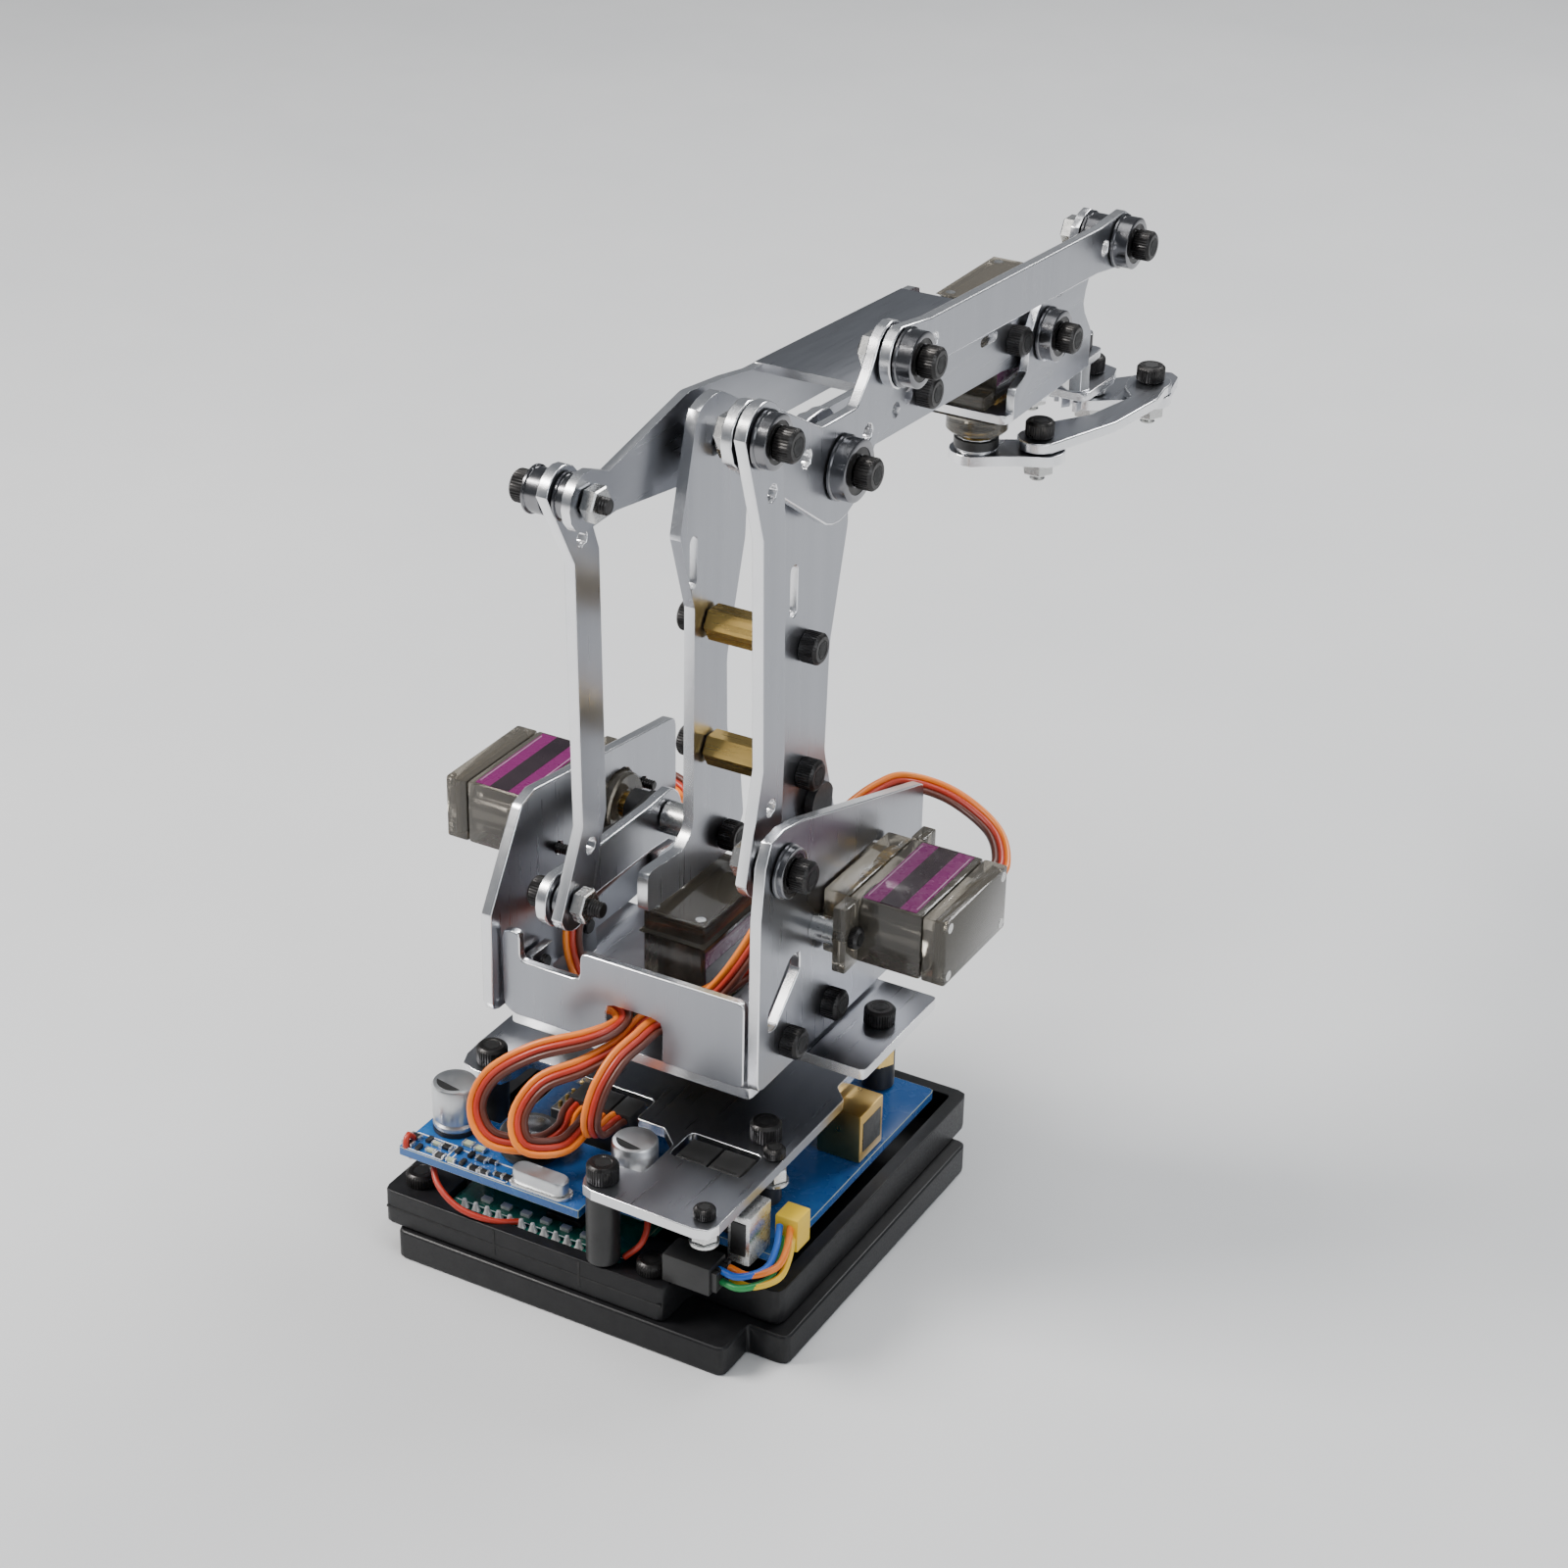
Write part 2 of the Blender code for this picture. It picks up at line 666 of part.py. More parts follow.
# ---- lower arm and its links -----------------------------------------------------------------------
def lower_arm():
    body = "lower_arm"
    left = rounded(
        [
            (-7.4, 60.9, 1.0),
            (2.0, 60.3, 1.0),
            (20.0, 59.9, 3.0),
            (24.6, 64.8, 2.0),
            (23.4, 74.0, 3.0),
            (18.6, 84.0, 6.0),
            (18.2, 98.0, 8.0),
            (23.8, 118.0, 6.0),
            (24.6, 132.0, 4.0),
            (21.8, 143.0, 4.0),
            (15.0, 147.0, 5.0),
            (8.0, 146.0, 4.0),
            (2.6, 125.5, 2.0),
            (7.4, 111.0, 2.0),
            (7.4, 70.0, 3.0),
            (4.0, 67.4, 1.5),
            (-7.4, 68.4, 1.5),
        ]
    )
    shared = [circle(spot, PIN_HOLE, 10) for spot in (SHOULDER, ELBOW, *ARM_SPACERS)]
    holes = [*shared, slot((6.9, 116.2), (6.9, 123.2), 1.2)]
    place("arm_left_plate", "aluminium", extruded(left, ARM_LEFT_X, SHEET, "X", holes), body)
    right = rounded(
        [
            (11.0, 57.4, 5.0),
            (23.5, 57.4, 5.0),
            (25.0, 70.5, 3.0),
            (20.6, 84.0, 6.0),
            (21.4, 104.0, 8.0),
            (26.6, 124.0, 5.0),
            (24.6, 138.0, 5.0),
            (19.5, 147.0, 5.0),
            (9.5, 146.6, 6.0),
            (1.6, 137.0, 3.0),
            (3.6, 124.0, 4.0),
            (4.4, 108.0, 3.0),
            (4.2, 80.0, 4.0),
            (8.8, 70.0, 4.0),
        ]
    )
    holes = [*shared, slot((8.4, 115.0), (8.4, 121.8), 1.2), circle((5.2, 137.6), 1.6, 8)]
    place("arm_right_plate", "aluminium", extruded(right, ARM_RIGHT_X, SHEET, "X", holes), body)

    low = ARM_LEFT_X + SHEET + GAP
    high = ARM_RIGHT_X - GAP
    left_head = (HEAD_R, ARM_LEFT_X - GAP - HEAD_H, ARM_LEFT_X - GAP)
    right_head = (HEAD_R, ARM_RIGHT_X + SHEET + GAP, ARM_RIGHT_X + SHEET + GAP + HEAD_H)
    for name, spot in zip(("arm_spacer_upper", "arm_spacer_lower"), ARM_SPACERS):
        spacer = pin(spot, left_head[1], right_head[2], [left_head, (2.8, low, high), right_head])
        place(name, "brass", spacer, body, True)
    collars = [(3.0, -13.7, -4.8), (HEAD_R, -2.2, 0.8)]
    place("shoulder_pin", "black_steel", pin(SHOULDER, -15.9, 0.8, collars), body, True)
    collars = [(HEAD_R, -11.5, -8.5), (5.0, -6.3, -4.8), (NUT_R, -2.2, 0.2)]
    place("elbow_pin_left", "black_steel", pin(ELBOW, -11.5, 1.6, collars), body, True)
    collars = [(NUT_R, 8.6, 11.0), (4.6, 15.7, 17.2), (5.5, 19.8, 22.8), (HEAD_R, 23.1, 26.1)]
    place("elbow_pin_right", "black_steel", pin(ELBOW, 6.6, 26.1, collars), body, True)

    tip = (SHOULDER[0] - 1.0, SHOULDER[1] + 12.0)
    horn = extruded(bar(SHOULDER, tip, 3.8, 2.6, 5.0), 15.7, 1.6)
    obj = place("shoulder_horn", "black_plastic", horn, body)
    fuse(obj, cylinder(SHOULDER, 3.4, 15.9, 21.0))


def crank():
    body = "crank"
    holes = [circle(PIN_C, PIN_HOLE, 10), circle(SHOULDER, PIN_HOLE, 10), circle((-9.5, 64.8), 1.6, 8)]
    arm = extruded(bar(PIN_C, SHOULDER, 5.0, 4.4, 5.0), CRANK_X, SHEET, "X", holes)
    place("crank_arm", "aluminium", arm, body)
    horn = extruded(bar(SHOULDER, (1.5, 64.5), 3.8, 2.6, 5.0), -17.9, 1.6)
    obj = place("elbow_horn", "black_plastic", horn, body)
    fuse(obj, cylinder(SHOULDER, 3.4, -21.0, -16.5))

    nut_low = REAR_LINK_X + SHEET + GAP
    head = CRANK_X - GAP
    collars = [
        (HEAD_R, head - HEAD_H, head),
        (3.2, CRANK_X + SHEET + GAP, REAR_LINK_X - GAP),
        (NUT_R, nut_low, nut_low + NUT_H),
    ]
    place("crank_pin", "black_steel", pin(PIN_C, head - HEAD_H, -5.0, collars), "crank_pin", True)


def links():
    lighter = [circle((-11.6, 73.4), 1.5, 8), circle((-13.2, 129.6), 1.5, 8)]
    holes = [circle(PIN_C, PIN_HOLE, 10), circle(PIN_R_TOP, PIN_HOLE, 10), *lighter]
    rear = bar(PIN_C, PIN_R_TOP, 5.0, 3.7, 13.0, -6.2)
    place("rear_link", "aluminium", extruded(rear, REAR_LINK_X, SHEET, "X", holes), "rear_link")
    collars = [(HEAD_R, -19.6, -16.6), (4.0, -16.3, -13.2), (4.0, -10.6, -8.5), (NUT_R, -6.3, -3.9)]
    place("rear_link_pin", "black_steel", pin(PIN_R_TOP, -19.6, -1.8, collars), "rear_link", True)

    lighter = [circle((-9.6, 89.0), 1.5, 8), circle((-11.2, 144.0), 1.5, 8)]
    holes = [circle(PIN_F, PIN_HOLE, 10), circle(PIN_T1, PIN_HOLE, 10), *lighter]
    stabiliser = bar(PIN_F, PIN_T1, 5.8, 3.5, 17.0, -3.4)
    link = extruded(stabiliser, LINK_X, SHEET, "X", holes)
    place("stabiliser_link", "aluminium", link, "stabiliser_link")

    along = Vector(FOREARM).normalized()
    holes = [circle(PIN_T2, PIN_HOLE, 10), circle(PIN_G2, PIN_HOLE, 10)]
    holes.append(circle(tuple(Vector(PIN_T2) + along * 10.5), 1.5, 8))
    holes.append(circle(tuple(Vector(PIN_G2) - along * 6.5), 1.5, 8))
    front = bar(PIN_T2, PIN_G2, 5.4, 4.2, 9.0)
    place("front_link", "aluminium", extruded(front, LINK_X, SHEET, "X", holes), "front_link")


def elbow_plate():
    body = "elbow_plate"
    t1, e, t2 = PIN_T1, ELBOW, PIN_T2
    outline = (
        arc(t1, 5.6, 60, 245, 6)
        + arc(e, 9.5, 228, 330, 7)
        + arc(t2, 5.4, -40, 165, 8)
        + eased([(24.2, 150.5), (20.6, 146.6, 2.0), (9.0, 147.2, 3.0), (-6.0, 155.7)])
    )
    lighter = [circle((4.0, 143.6), 1.6, 8), circle((24.5, 141.0), 1.6, 8)]
    holes = [circle(spot, PIN_HOLE, 10) for spot in (t1, e, t2)] + lighter
    place("elbow_plate", "aluminium", extruded(outline, ELBOW_PLATE_X, SHEET, "X", holes), body)
    nut = (NUT_R, ELBOW_PLATE_X - GAP - NUT_H, ELBOW_PLATE_X - GAP)
    outside = LINK_X + SHEET + GAP
    rear = pin(t1, 14.0, 27.9, [nut, (4.7, outside, 24.6), (HEAD_R, 24.9, 27.9)])
    place("elbow_plate_rear_pin", "black_steel", rear, body, True)
    nose = pin(t2, 14.0, 28.6, [nut, (5.0, outside, 25.3), (HEAD_R, 25.6, 28.6)])
    place("elbow_plate_nose_pin", "black_steel", nose, body, True)


# ---- upper arm and gripper ---------------------------------------------------------------------------
def forearm_point(along, rise):
    """A point (y, z) given by its distance along the line from E to W and above it."""
    u = Vector(FOREARM).normalized()
    return tuple(Vector(ELBOW) + u * along + Vector((-u[1], u[0])) * rise)


def upper_arm():
    body = "upper_arm"
    top = CHANNEL_RISE - 0.2
    reach = Vector(FOREARM).length
    f = forearm_point
    left = arc(PIN_R_TOP, 5.0, 75, 285, 8) + eased(
        [
            (-10.0, 134.2),
            (*f(-3.0, -7.5), 3.0),
            (*f(6.0, -7.5), 6.0),
            (*f(14.0, -4.4), 4.0),
            (*f(78.0, -4.0), 2.0),
            (*f(78.0, top), 2.0),
            (*f(16.0, top), 0.2),
            (*f(8.0, 7.5), 3.0),
            (*f(-4.0, 8.2), 4.0),
            (-12.0, 141.6),
        ]
    )
    holes = [circle(PIN_R_TOP, PIN_HOLE, 10), circle(ELBOW, PIN_HOLE, 10)]
    obj = place("upper_arm", "aluminium", extruded(left, FLANGE_LEFT_X, THIN, "X", holes), body)

    under = eased([f(5.0, -7.0), (*f(14.0, -4.6), 4.0), (*f(reach - 12.0, -4.6), 4.0), f(reach - 5.0, -5.6)])
    right = arc(ELBOW, 7.2, 86, 266, 6) + under + arc(WRIST, 6.0, -93, 80, 6)
    right += [f(reach - 8.0, top), f(5.0, top)]
    screws = (f(41.0, 0.5), f(76.6, 0.4))
    holes = [circle(spot, PIN_HOLE, 10) for spot in (ELBOW, WRIST, *screws)]
    holes += [circle(f(31.5, -0.5), 1.5, 8), circle(f(36.0, 0.8), 1.5, 8)]
    holes.append(slot(f(64.0, 3.0), f(69.0, 3.0), 0.9, 4))
    fuse(obj, extruded(right, FLANGE_RIGHT_X, THIN, "X", holes))
    low = CHANNEL_RISE - THIN
    web = [f(20.0, low), f(73.0, low), f(73.0, CHANNEL_RISE), f(20.0, CHANNEL_RISE)]
    fuse(obj, extruded(web, FLANGE_LEFT_X + 0.15, FLANGE_RIGHT_X + THIN - FLANGE_LEFT_X - 0.3, "X"))

    collars = [(5.0, MOUNT_X + THIN + GAP, 18.7), (HEAD_R, 19.0, 22.0)]
    place("wrist_pin", "black_steel", pin(WRIST, 11.0, 22.0, collars), body, True)


def gripper():
    body = "gripper"
    x, y = GRIP_AXIS
    foot_low = FOOT_TOP - THIN
    wall = rounded(
        [
            (88.5, foot_low + 0.2, 0.2),
            (121.0, foot_low + 0.2, 0.2),
            (121.0, 127.5, 3.0),
            (116.0, 134.0, 4.0),
            (120.6, 142.0, 3.0),
            (121.6, 149.0, 4.0),
            (117.5, 152.6, 4.0),
            (111.8, 150.0, 4.0),
            (111.2, 142.0, 3.0),
            (106.8, 138.4, 3.0),
            (98.0, 140.6, 4.0),
            (93.4, 134.0, 4.0),
            (94.0, 127.6, 3.0),
            (88.5, 126.4, 2.0),
        ]
    )
    holes = [circle(WRIST, PIN_HOLE, 10), circle(PIN_G2, PIN_HOLE, 10)]
    obj = place("gripper_bracket", "aluminium", extruded(wall, MOUNT_X, THIN, "X", holes), body)
    half = SERVO_W / 2 + 0.4
    near = y - SERVO_SHAFT - 0.4
    far = near + SERVO_L + 0.8
    edge = MOUNT_X + THIN - 0.2
    foot = rounded([(-5.6, 86.0, 1.5), (edge, 86.0, 1.5), (edge, 128.0, 1.5), (-5.6, 128.0, 1.5)])
    holes = [[(x - half, near), (x + half, near), (x + half, far), (x - half, far)]]
    holes += [circle(spot, PIN_HOLE, 10) for spot in PLATE_HANGERS]
    fuse(obj, extruded(foot, foot_low, THIN, "Z", holes))
    bottom = FOOT_TOP + GAP + SERVO_TAB + SERVO_TAB_LOW
    servo("gripper_servo", body, (x, y, bottom), (0, 1, 0), (0, 0, -1))

    pins = (JAW_PIN, JAW_LEFT_PIN)
    jaws_top = JAW_LOW + SHEET
    plate_low = jaws_top + SHEET + 2 * GAP
    plate_top = plate_low + THIN
    left_x, right_x = JAW_LEFT_PIN[0], JAW_PIN[0]
    outline = [
        (left_x - 6.0, 122.0, 2.0),
        (right_x + 4.5, 122.0, 2.0),
        (right_x + 5.0, 139.4, 5.0),
        (left_x - 5.0, 139.4, 5.0),
    ]
    holes = [circle(spot, PIN_HOLE, 10) for spot in pins]
    head = (HEAD_R, FOOT_TOP + GAP, FOOT_TOP + GAP + HEAD_H)
    plate = extruded(rounded(outline), plate_low, THIN, "Z", holes)
    obj = place("gripper_plate", "aluminium", plate, body)
    tube_low = plate_low + 0.5
    collars = [(2.8, tube_low, foot_low - GAP), head]
    hangers = [pin(spot, tube_low, head[2], collars, "Z") for spot in PLATE_HANGERS]
    fuse(obj, together(*hangers))
    for name, spot in zip(("right_jaw_pin", "left_jaw_pin"), pins):
        collars = [
            (NUT_R, JAW_LOW - GAP - NUT_H, JAW_LOW - GAP),
            (3.2, jaws_top + GAP, plate_low - GAP),
            (HEAD_R, plate_top + GAP, plate_top + GAP + HEAD_H),
        ]
        place(name, "black_steel", pin(spot, JAW_LOW - 4.2, collars[2][2], collars, "Z"), body, True)
    collars = [
        (NUT_R, MOUNT_X - GAP - NUT_H, MOUNT_X - GAP),
        (4.5, MOUNT_X + THIN + GAP, LINK_X - GAP),
        (5.0, LINK_X + SHEET + GAP, 25.3),
        (HEAD_R, 25.6, 28.6),
    ]
    place("bracket_pin", "black_steel", pin(PIN_G2, 11.0, 28.6, collars), body, True)

    lever = bar(GRIP_AXIS, GRIP_PIN, 5.0, 4.2, 4.0)
    lever = extruded(lever, JAW_LOW, SHEET, "Z", [circle(GRIP_PIN, PIN_HOLE, 10)])
    obj = place("gripper_lever", "aluminium", lever, "lever")
    hub_top = bottom - SERVO_TOP - SERVO_BOSS - 0.8 - GAP
    fuse(obj, cylinder(GRIP_AXIS, 3.8, jaws_top - 0.5, hub_top, "Z"))
    for name, spot, carrier in (("lever_pin", GRIP_PIN, "lever"), ("drive_pin", JAW_DRIVE, "right_jaw")):
        head = jaws_top + SHEET + 2 * GAP
        collars = [(NUT_R, JAW_LOW - GAP - NUT_H, JAW_LOW - GAP), (HEAD_R, head, head + HEAD_H)]
        place(name, "black_steel", pin(spot, JAW_LOW - 4.2, head + HEAD_H, collars, "Z"), carrier, True)

    a, b = GRIP_PIN, JAW_DRIVE
    front = eased([(b[0] + 3.2, a[1] + 14.0), (b[0] + 5.0, b[1] - 8.0, 4.0), (b[0] + 4.0, b[1] - 2.0)])
    back = eased(
        [
            (b[0] - 3.2, b[1] - 5.0),
            (b[0] + 0.2, b[1] - 9.5, 1.5),
            (b[0] - 2.6, a[1] + 15.0, 3.0),
            (a[0] - 2.0, a[1] + 7.0),
        ]
    )
    bow = arc(a, 4.2, 150, 330, 8) + front + arc(b, 4.2, -10, 190, 8) + back
    holes = [circle(a, PIN_HOLE, 10), circle(b, PIN_HOLE, 10)]
    place("drive_link", "aluminium", extruded(bow, jaws_top + GAP, SHEET, "Z", holes), "drive_link")
    jaw(True)
    jaw(False)


def jaw(right):
    """One jaw, open: gear teeth towards the other jaw, a finger, and the right one's drive arm."""
    pitch = 360 / JAW_TEETH
    first = 120.0 if right else 105.0
    teeth = []
    for k in range(6):
        for offset, radius in ((-0.26, JAW_ROOT), (-0.13, JAW_TIP), (0.13, JAW_TIP), (0.26, JAW_ROOT)):
            angle = math.radians(first + (k + offset) * pitch)
            teeth.append((radius * math.cos(angle), radius * math.sin(angle)))
    finger = eased([(11.6, 16.3), (9.6, 18.0), (7.9, 17.5), (0.4, 8.3)])
    if right:
        heel = arc((0, 0), JAW_ROOT, 285, 300, 2) + arc(GRIP_THROW, 4.2, -75, 40, 6)
    else:
        heel = arc((0, 0), JAW_ROOT, 272, 380, 8) + [(8.9, 8.2)]
    centre = JAW_PIN if right else JAW_LEFT_PIN
    side = 1 if right else -1
    outline = [(centre[0] + side * a, centre[1] + b) for a, b in heel + finger + teeth]
    name = "right_jaw" if right else "left_jaw"
    holes = [circle(centre, PIN_HOLE, 10)]
    if right:
        holes.append(circle(JAW_DRIVE, PIN_HOLE, 10))
    place(name, "aluminium", extruded(outline, JAW_LOW, SHEET, "Z", holes), name)


# ---- cables ------------------------------------------------------------------------------------------
# Each lead leaves its servo, goes out through the rear plate's slot and hangs in a loop to its plug.
SERVO_ROUTES = {
    "elbow_servo_lead": [
        (-44.5, 24.2, 60.0),
        (-45.0, 29.5, 59.8),
        (-39.5, 37.5, 58.6),
        (-29.5, 41.8, 57.0),
        (-22.2, 39.0, 55.5),
        (-21.6, 28.0, 54.0),
        (-21.8, 14.0, 53.6),
        (-21.0, 1.0, 53.0),
        (-17.5, -7.5, 50.6),
        (-10.5, -14.0, 48.0),
        (-1.4, -17.6, 47.3),
        (0.0, -21.6, 47.0),
        (-2.6, -26.0, 46.2),
        (-10.5, -30.5, 43.4),
        (-17.0, -33.5, 38.2),
        (-18.5, -36.0, 32.6),
        (-14.5, -37.5, 28.8),
        (-8.0, -34.0, 27.9),
        (-6.5, -28.5, 27.9),
        (-8.2, -23.5, 27.8),
        (-9.0, -19.0, 27.4),
    ],
    "yaw_servo_lead": [
        (0.0, 19.9, 55.0),
        (0.6, 24.0, 54.6),
        (6.0, 28.0, 52.6),
        (11.0, 24.0, 50.4),
        (11.4, 12.0, 48.6),
        (10.0, 0.0, 47.6),
        (6.4, -9.5, 46.8),
        (2.8, -15.5, 46.0),
        (2.3, -19.2, 45.6),
        (1.6, -23.0, 44.4),
        (-2.2, -28.5, 42.2),
        (-7.5, -33.0, 39.6),
        (-9.5, -36.8, 34.6),
        (-7.0, -38.6, 30.8),
        (-2.5, -35.0, 30.0),
        (-2.5, -29.0, 29.6),
        (-4.2, -23.5, 28.2),
        (-4.6, -19.0, 27.4),
    ],
    "shoulder_servo_lead": [
        (44.5, 24.2, 66.0),
        (45.0, 29.5, 66.4),
        (39.5, 37.5, 67.6),
        (29.5, 41.8, 69.4),
        (22.0, 39.2, 71.4),
        (21.4, 30.0, 74.0),
        (21.8, 18.0, 75.4),
        (21.8, 6.0, 74.6),
        (21.0, -4.0, 70.0),
        (18.6, -10.5, 61.5),
        (14.0, -13.8, 53.5),
        (7.6, -16.4, 48.2),
        (5.6, -19.2, 47.2),
        (5.0, -22.0, 46.4),
        (3.6, -26.5, 44.6),
        (2.4, -30.5, 40.4),
        (2.2, -33.0, 35.6),
        (2.0, -31.5, 31.8),
        (0.9, -26.0, 29.6),
        (-0.2, -22.0, 28.2),
        (-0.4, -19.0, 27.4),
    ],
}
LEAD_R = 1.4                # a lead's three wires, side by side
JUMPER_R = 2.2              # four thin jumper wires, as one bundle
JUMPER_ROUTE = [
    (29.4, -35.4, 16.4),
    (33.4, -35.8, 16.6),
    (36.6, -32.6, 17.4),
    (36.2, -28.4, 18.6),
    (34.4, -24.0, 19.8),
]


def smooth(route, step):
    """Points about `step` apart on a Catmull-Rom curve through the route."""
    knots = [Vector(p) for p in route]
    knots = [2 * knots[0] - knots[1], *knots, 2 * knots[-1] - knots[-2]]
    points = []
    for a, b, c, d in zip(knots, knots[1:], knots[2:], knots[3:]):
        count = max(1, round((c - b).length / step))
        for i in range(count):
            t = i / count
            bend = (2 * a - 5 * b + 4 * c - d) * t**2 + (3 * b - a - 3 * c + d) * t**3
            points.append(0.5 * (2 * b + (c - a) * t + bend))
    points.append(knots[-2])
    return points


def tube(points, radius, sides=5):
    """A round solid along a line of points, closed at both ends."""
    bm = bmesh.new()
    ways = [(b - a).normalized() for a, b in zip(points, points[1:])]
    ways = [ways[0]] + [(a + b).normalized() for a, b in zip(ways, ways[1:])] + [ways[-1]]
    across = ways[0].orthogonal().normalized()
    rings = []
    for point, way in zip(points, ways):
        across = (across - way * across.dot(way)).normalized()
        beside = way.cross(across)
        spots = circle((0, 0), radius, sides)
        rings.append([bm.verts.new(point + across * a + beside * b) for a, b in spots])
    for one, two in zip(rings, rings[1:]):
        for i in range(sides):
            j = (i + 1) % sides
            bm.faces.new((one[i], one[j], two[j], two[i]))
    bm.faces.new(reversed(rings[0]))
    bm.faces.new(rings[-1])
    return bm


def cables():
    for name, route in SERVO_ROUTES.items():
        place(name, "wire", tube(smooth(route, 4.0), LEAD_R), smooth=True)
    place("jumper_wires", "wire", tube(smooth(JUMPER_ROUTE, 2.6), JUMPER_R), smooth=True)


# ---- assembly ----------------------------------------------------------------------------------------
def main():
    for obj in list(bpy.data.objects):
        bpy.data.objects.remove(obj, do_unlink=True)
    pivot("turret", *YAW, FLOOR_TOP)
    pivot("lower_arm", 0, *SHOULDER)
    pivot("crank", 0, *SHOULDER)
    pivot("crank_pin", 0, *PIN_C)
    pivot("rear_link", 0, *PIN_C)
    pivot("stabiliser_link", 0, *PIN_F)
    pivot("elbow_plate", 0, *ELBOW)
    pivot("upper_arm", 0, *ELBOW)
    pivot("front_link", 0, *PIN_T2)
    pivot("gripper", 0, *WRIST)
    pivot("lever", *GRIP_AXIS, JAW_LOW)
    pivot("drive_link", *GRIP_PIN, JAW_LOW)
    pivot("right_jaw", *JAW_PIN, JAW_LOW)
    pivot("left_jaw", *JAW_LEFT_PIN, JAW_LOW)
    base()
    boards()
    base_plate()
    turret()
    lower_arm()
    crank()
    links()
    elbow_plate()
    upper_arm()
    gripper()
    cables()


main()
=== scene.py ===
"""Looks of the desktop robot arm: fine geometry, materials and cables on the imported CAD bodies.

Lengths are millimetres until a mesh is made. +X is the arm's right, +Y its reach, +Z up.
"""

import json
import math
import random

import bmesh
import bpy
from mathutils import Matrix, Vector
from mathutils.bvhtree import BVHTree

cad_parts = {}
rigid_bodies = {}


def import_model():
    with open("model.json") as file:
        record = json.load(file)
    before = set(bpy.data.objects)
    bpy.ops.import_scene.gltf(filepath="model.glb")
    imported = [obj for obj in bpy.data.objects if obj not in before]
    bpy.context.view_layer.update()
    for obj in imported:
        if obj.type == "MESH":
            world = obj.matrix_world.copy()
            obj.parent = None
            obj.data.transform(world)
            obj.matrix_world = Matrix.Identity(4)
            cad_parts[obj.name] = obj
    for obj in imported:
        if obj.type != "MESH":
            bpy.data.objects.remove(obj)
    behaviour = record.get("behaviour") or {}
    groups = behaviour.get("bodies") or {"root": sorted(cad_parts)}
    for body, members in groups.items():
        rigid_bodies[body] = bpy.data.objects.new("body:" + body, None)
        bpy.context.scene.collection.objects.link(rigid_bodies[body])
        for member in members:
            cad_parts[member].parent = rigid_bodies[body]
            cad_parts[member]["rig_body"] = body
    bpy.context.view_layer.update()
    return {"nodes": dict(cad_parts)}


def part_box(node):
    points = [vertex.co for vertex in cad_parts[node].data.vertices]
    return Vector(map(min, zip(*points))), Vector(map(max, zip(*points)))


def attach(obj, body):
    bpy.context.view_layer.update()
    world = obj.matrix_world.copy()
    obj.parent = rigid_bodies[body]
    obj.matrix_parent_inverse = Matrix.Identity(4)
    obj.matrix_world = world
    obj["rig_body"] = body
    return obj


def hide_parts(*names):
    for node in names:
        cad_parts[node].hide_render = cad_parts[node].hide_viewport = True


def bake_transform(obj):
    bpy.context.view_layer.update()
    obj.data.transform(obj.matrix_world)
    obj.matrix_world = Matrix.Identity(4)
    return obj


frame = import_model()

MM = 0.001
SHEET = 2.3                 # no sheet is thicker

# ---- camera ----------------------------------------------------------------------------------------
AZIMUTH = 28.75
ELEVATION = 28.33
ROLL = 1.29
LENS = 73.94
CAMERA_AT = (0.2406, -0.4040, 0.3365)   # metres

camera = bpy.data.objects.new("camera", bpy.data.cameras.new("camera"))
bpy.context.scene.collection.objects.link(camera)
turn = Matrix.Rotation(math.radians(AZIMUTH), 4, "Z")
turn = turn @ Matrix.Rotation(math.radians(90 - ELEVATION), 4, "X")
camera.matrix_world = turn @ Matrix.Rotation(math.radians(ROLL), 4, "Z")
camera.matrix_world.translation = Vector(CAMERA_AT)
camera.data.sensor_width = 36.0
camera.data.lens = LENS
camera.data.clip_start = 0.01
bpy.context.scene.camera = camera


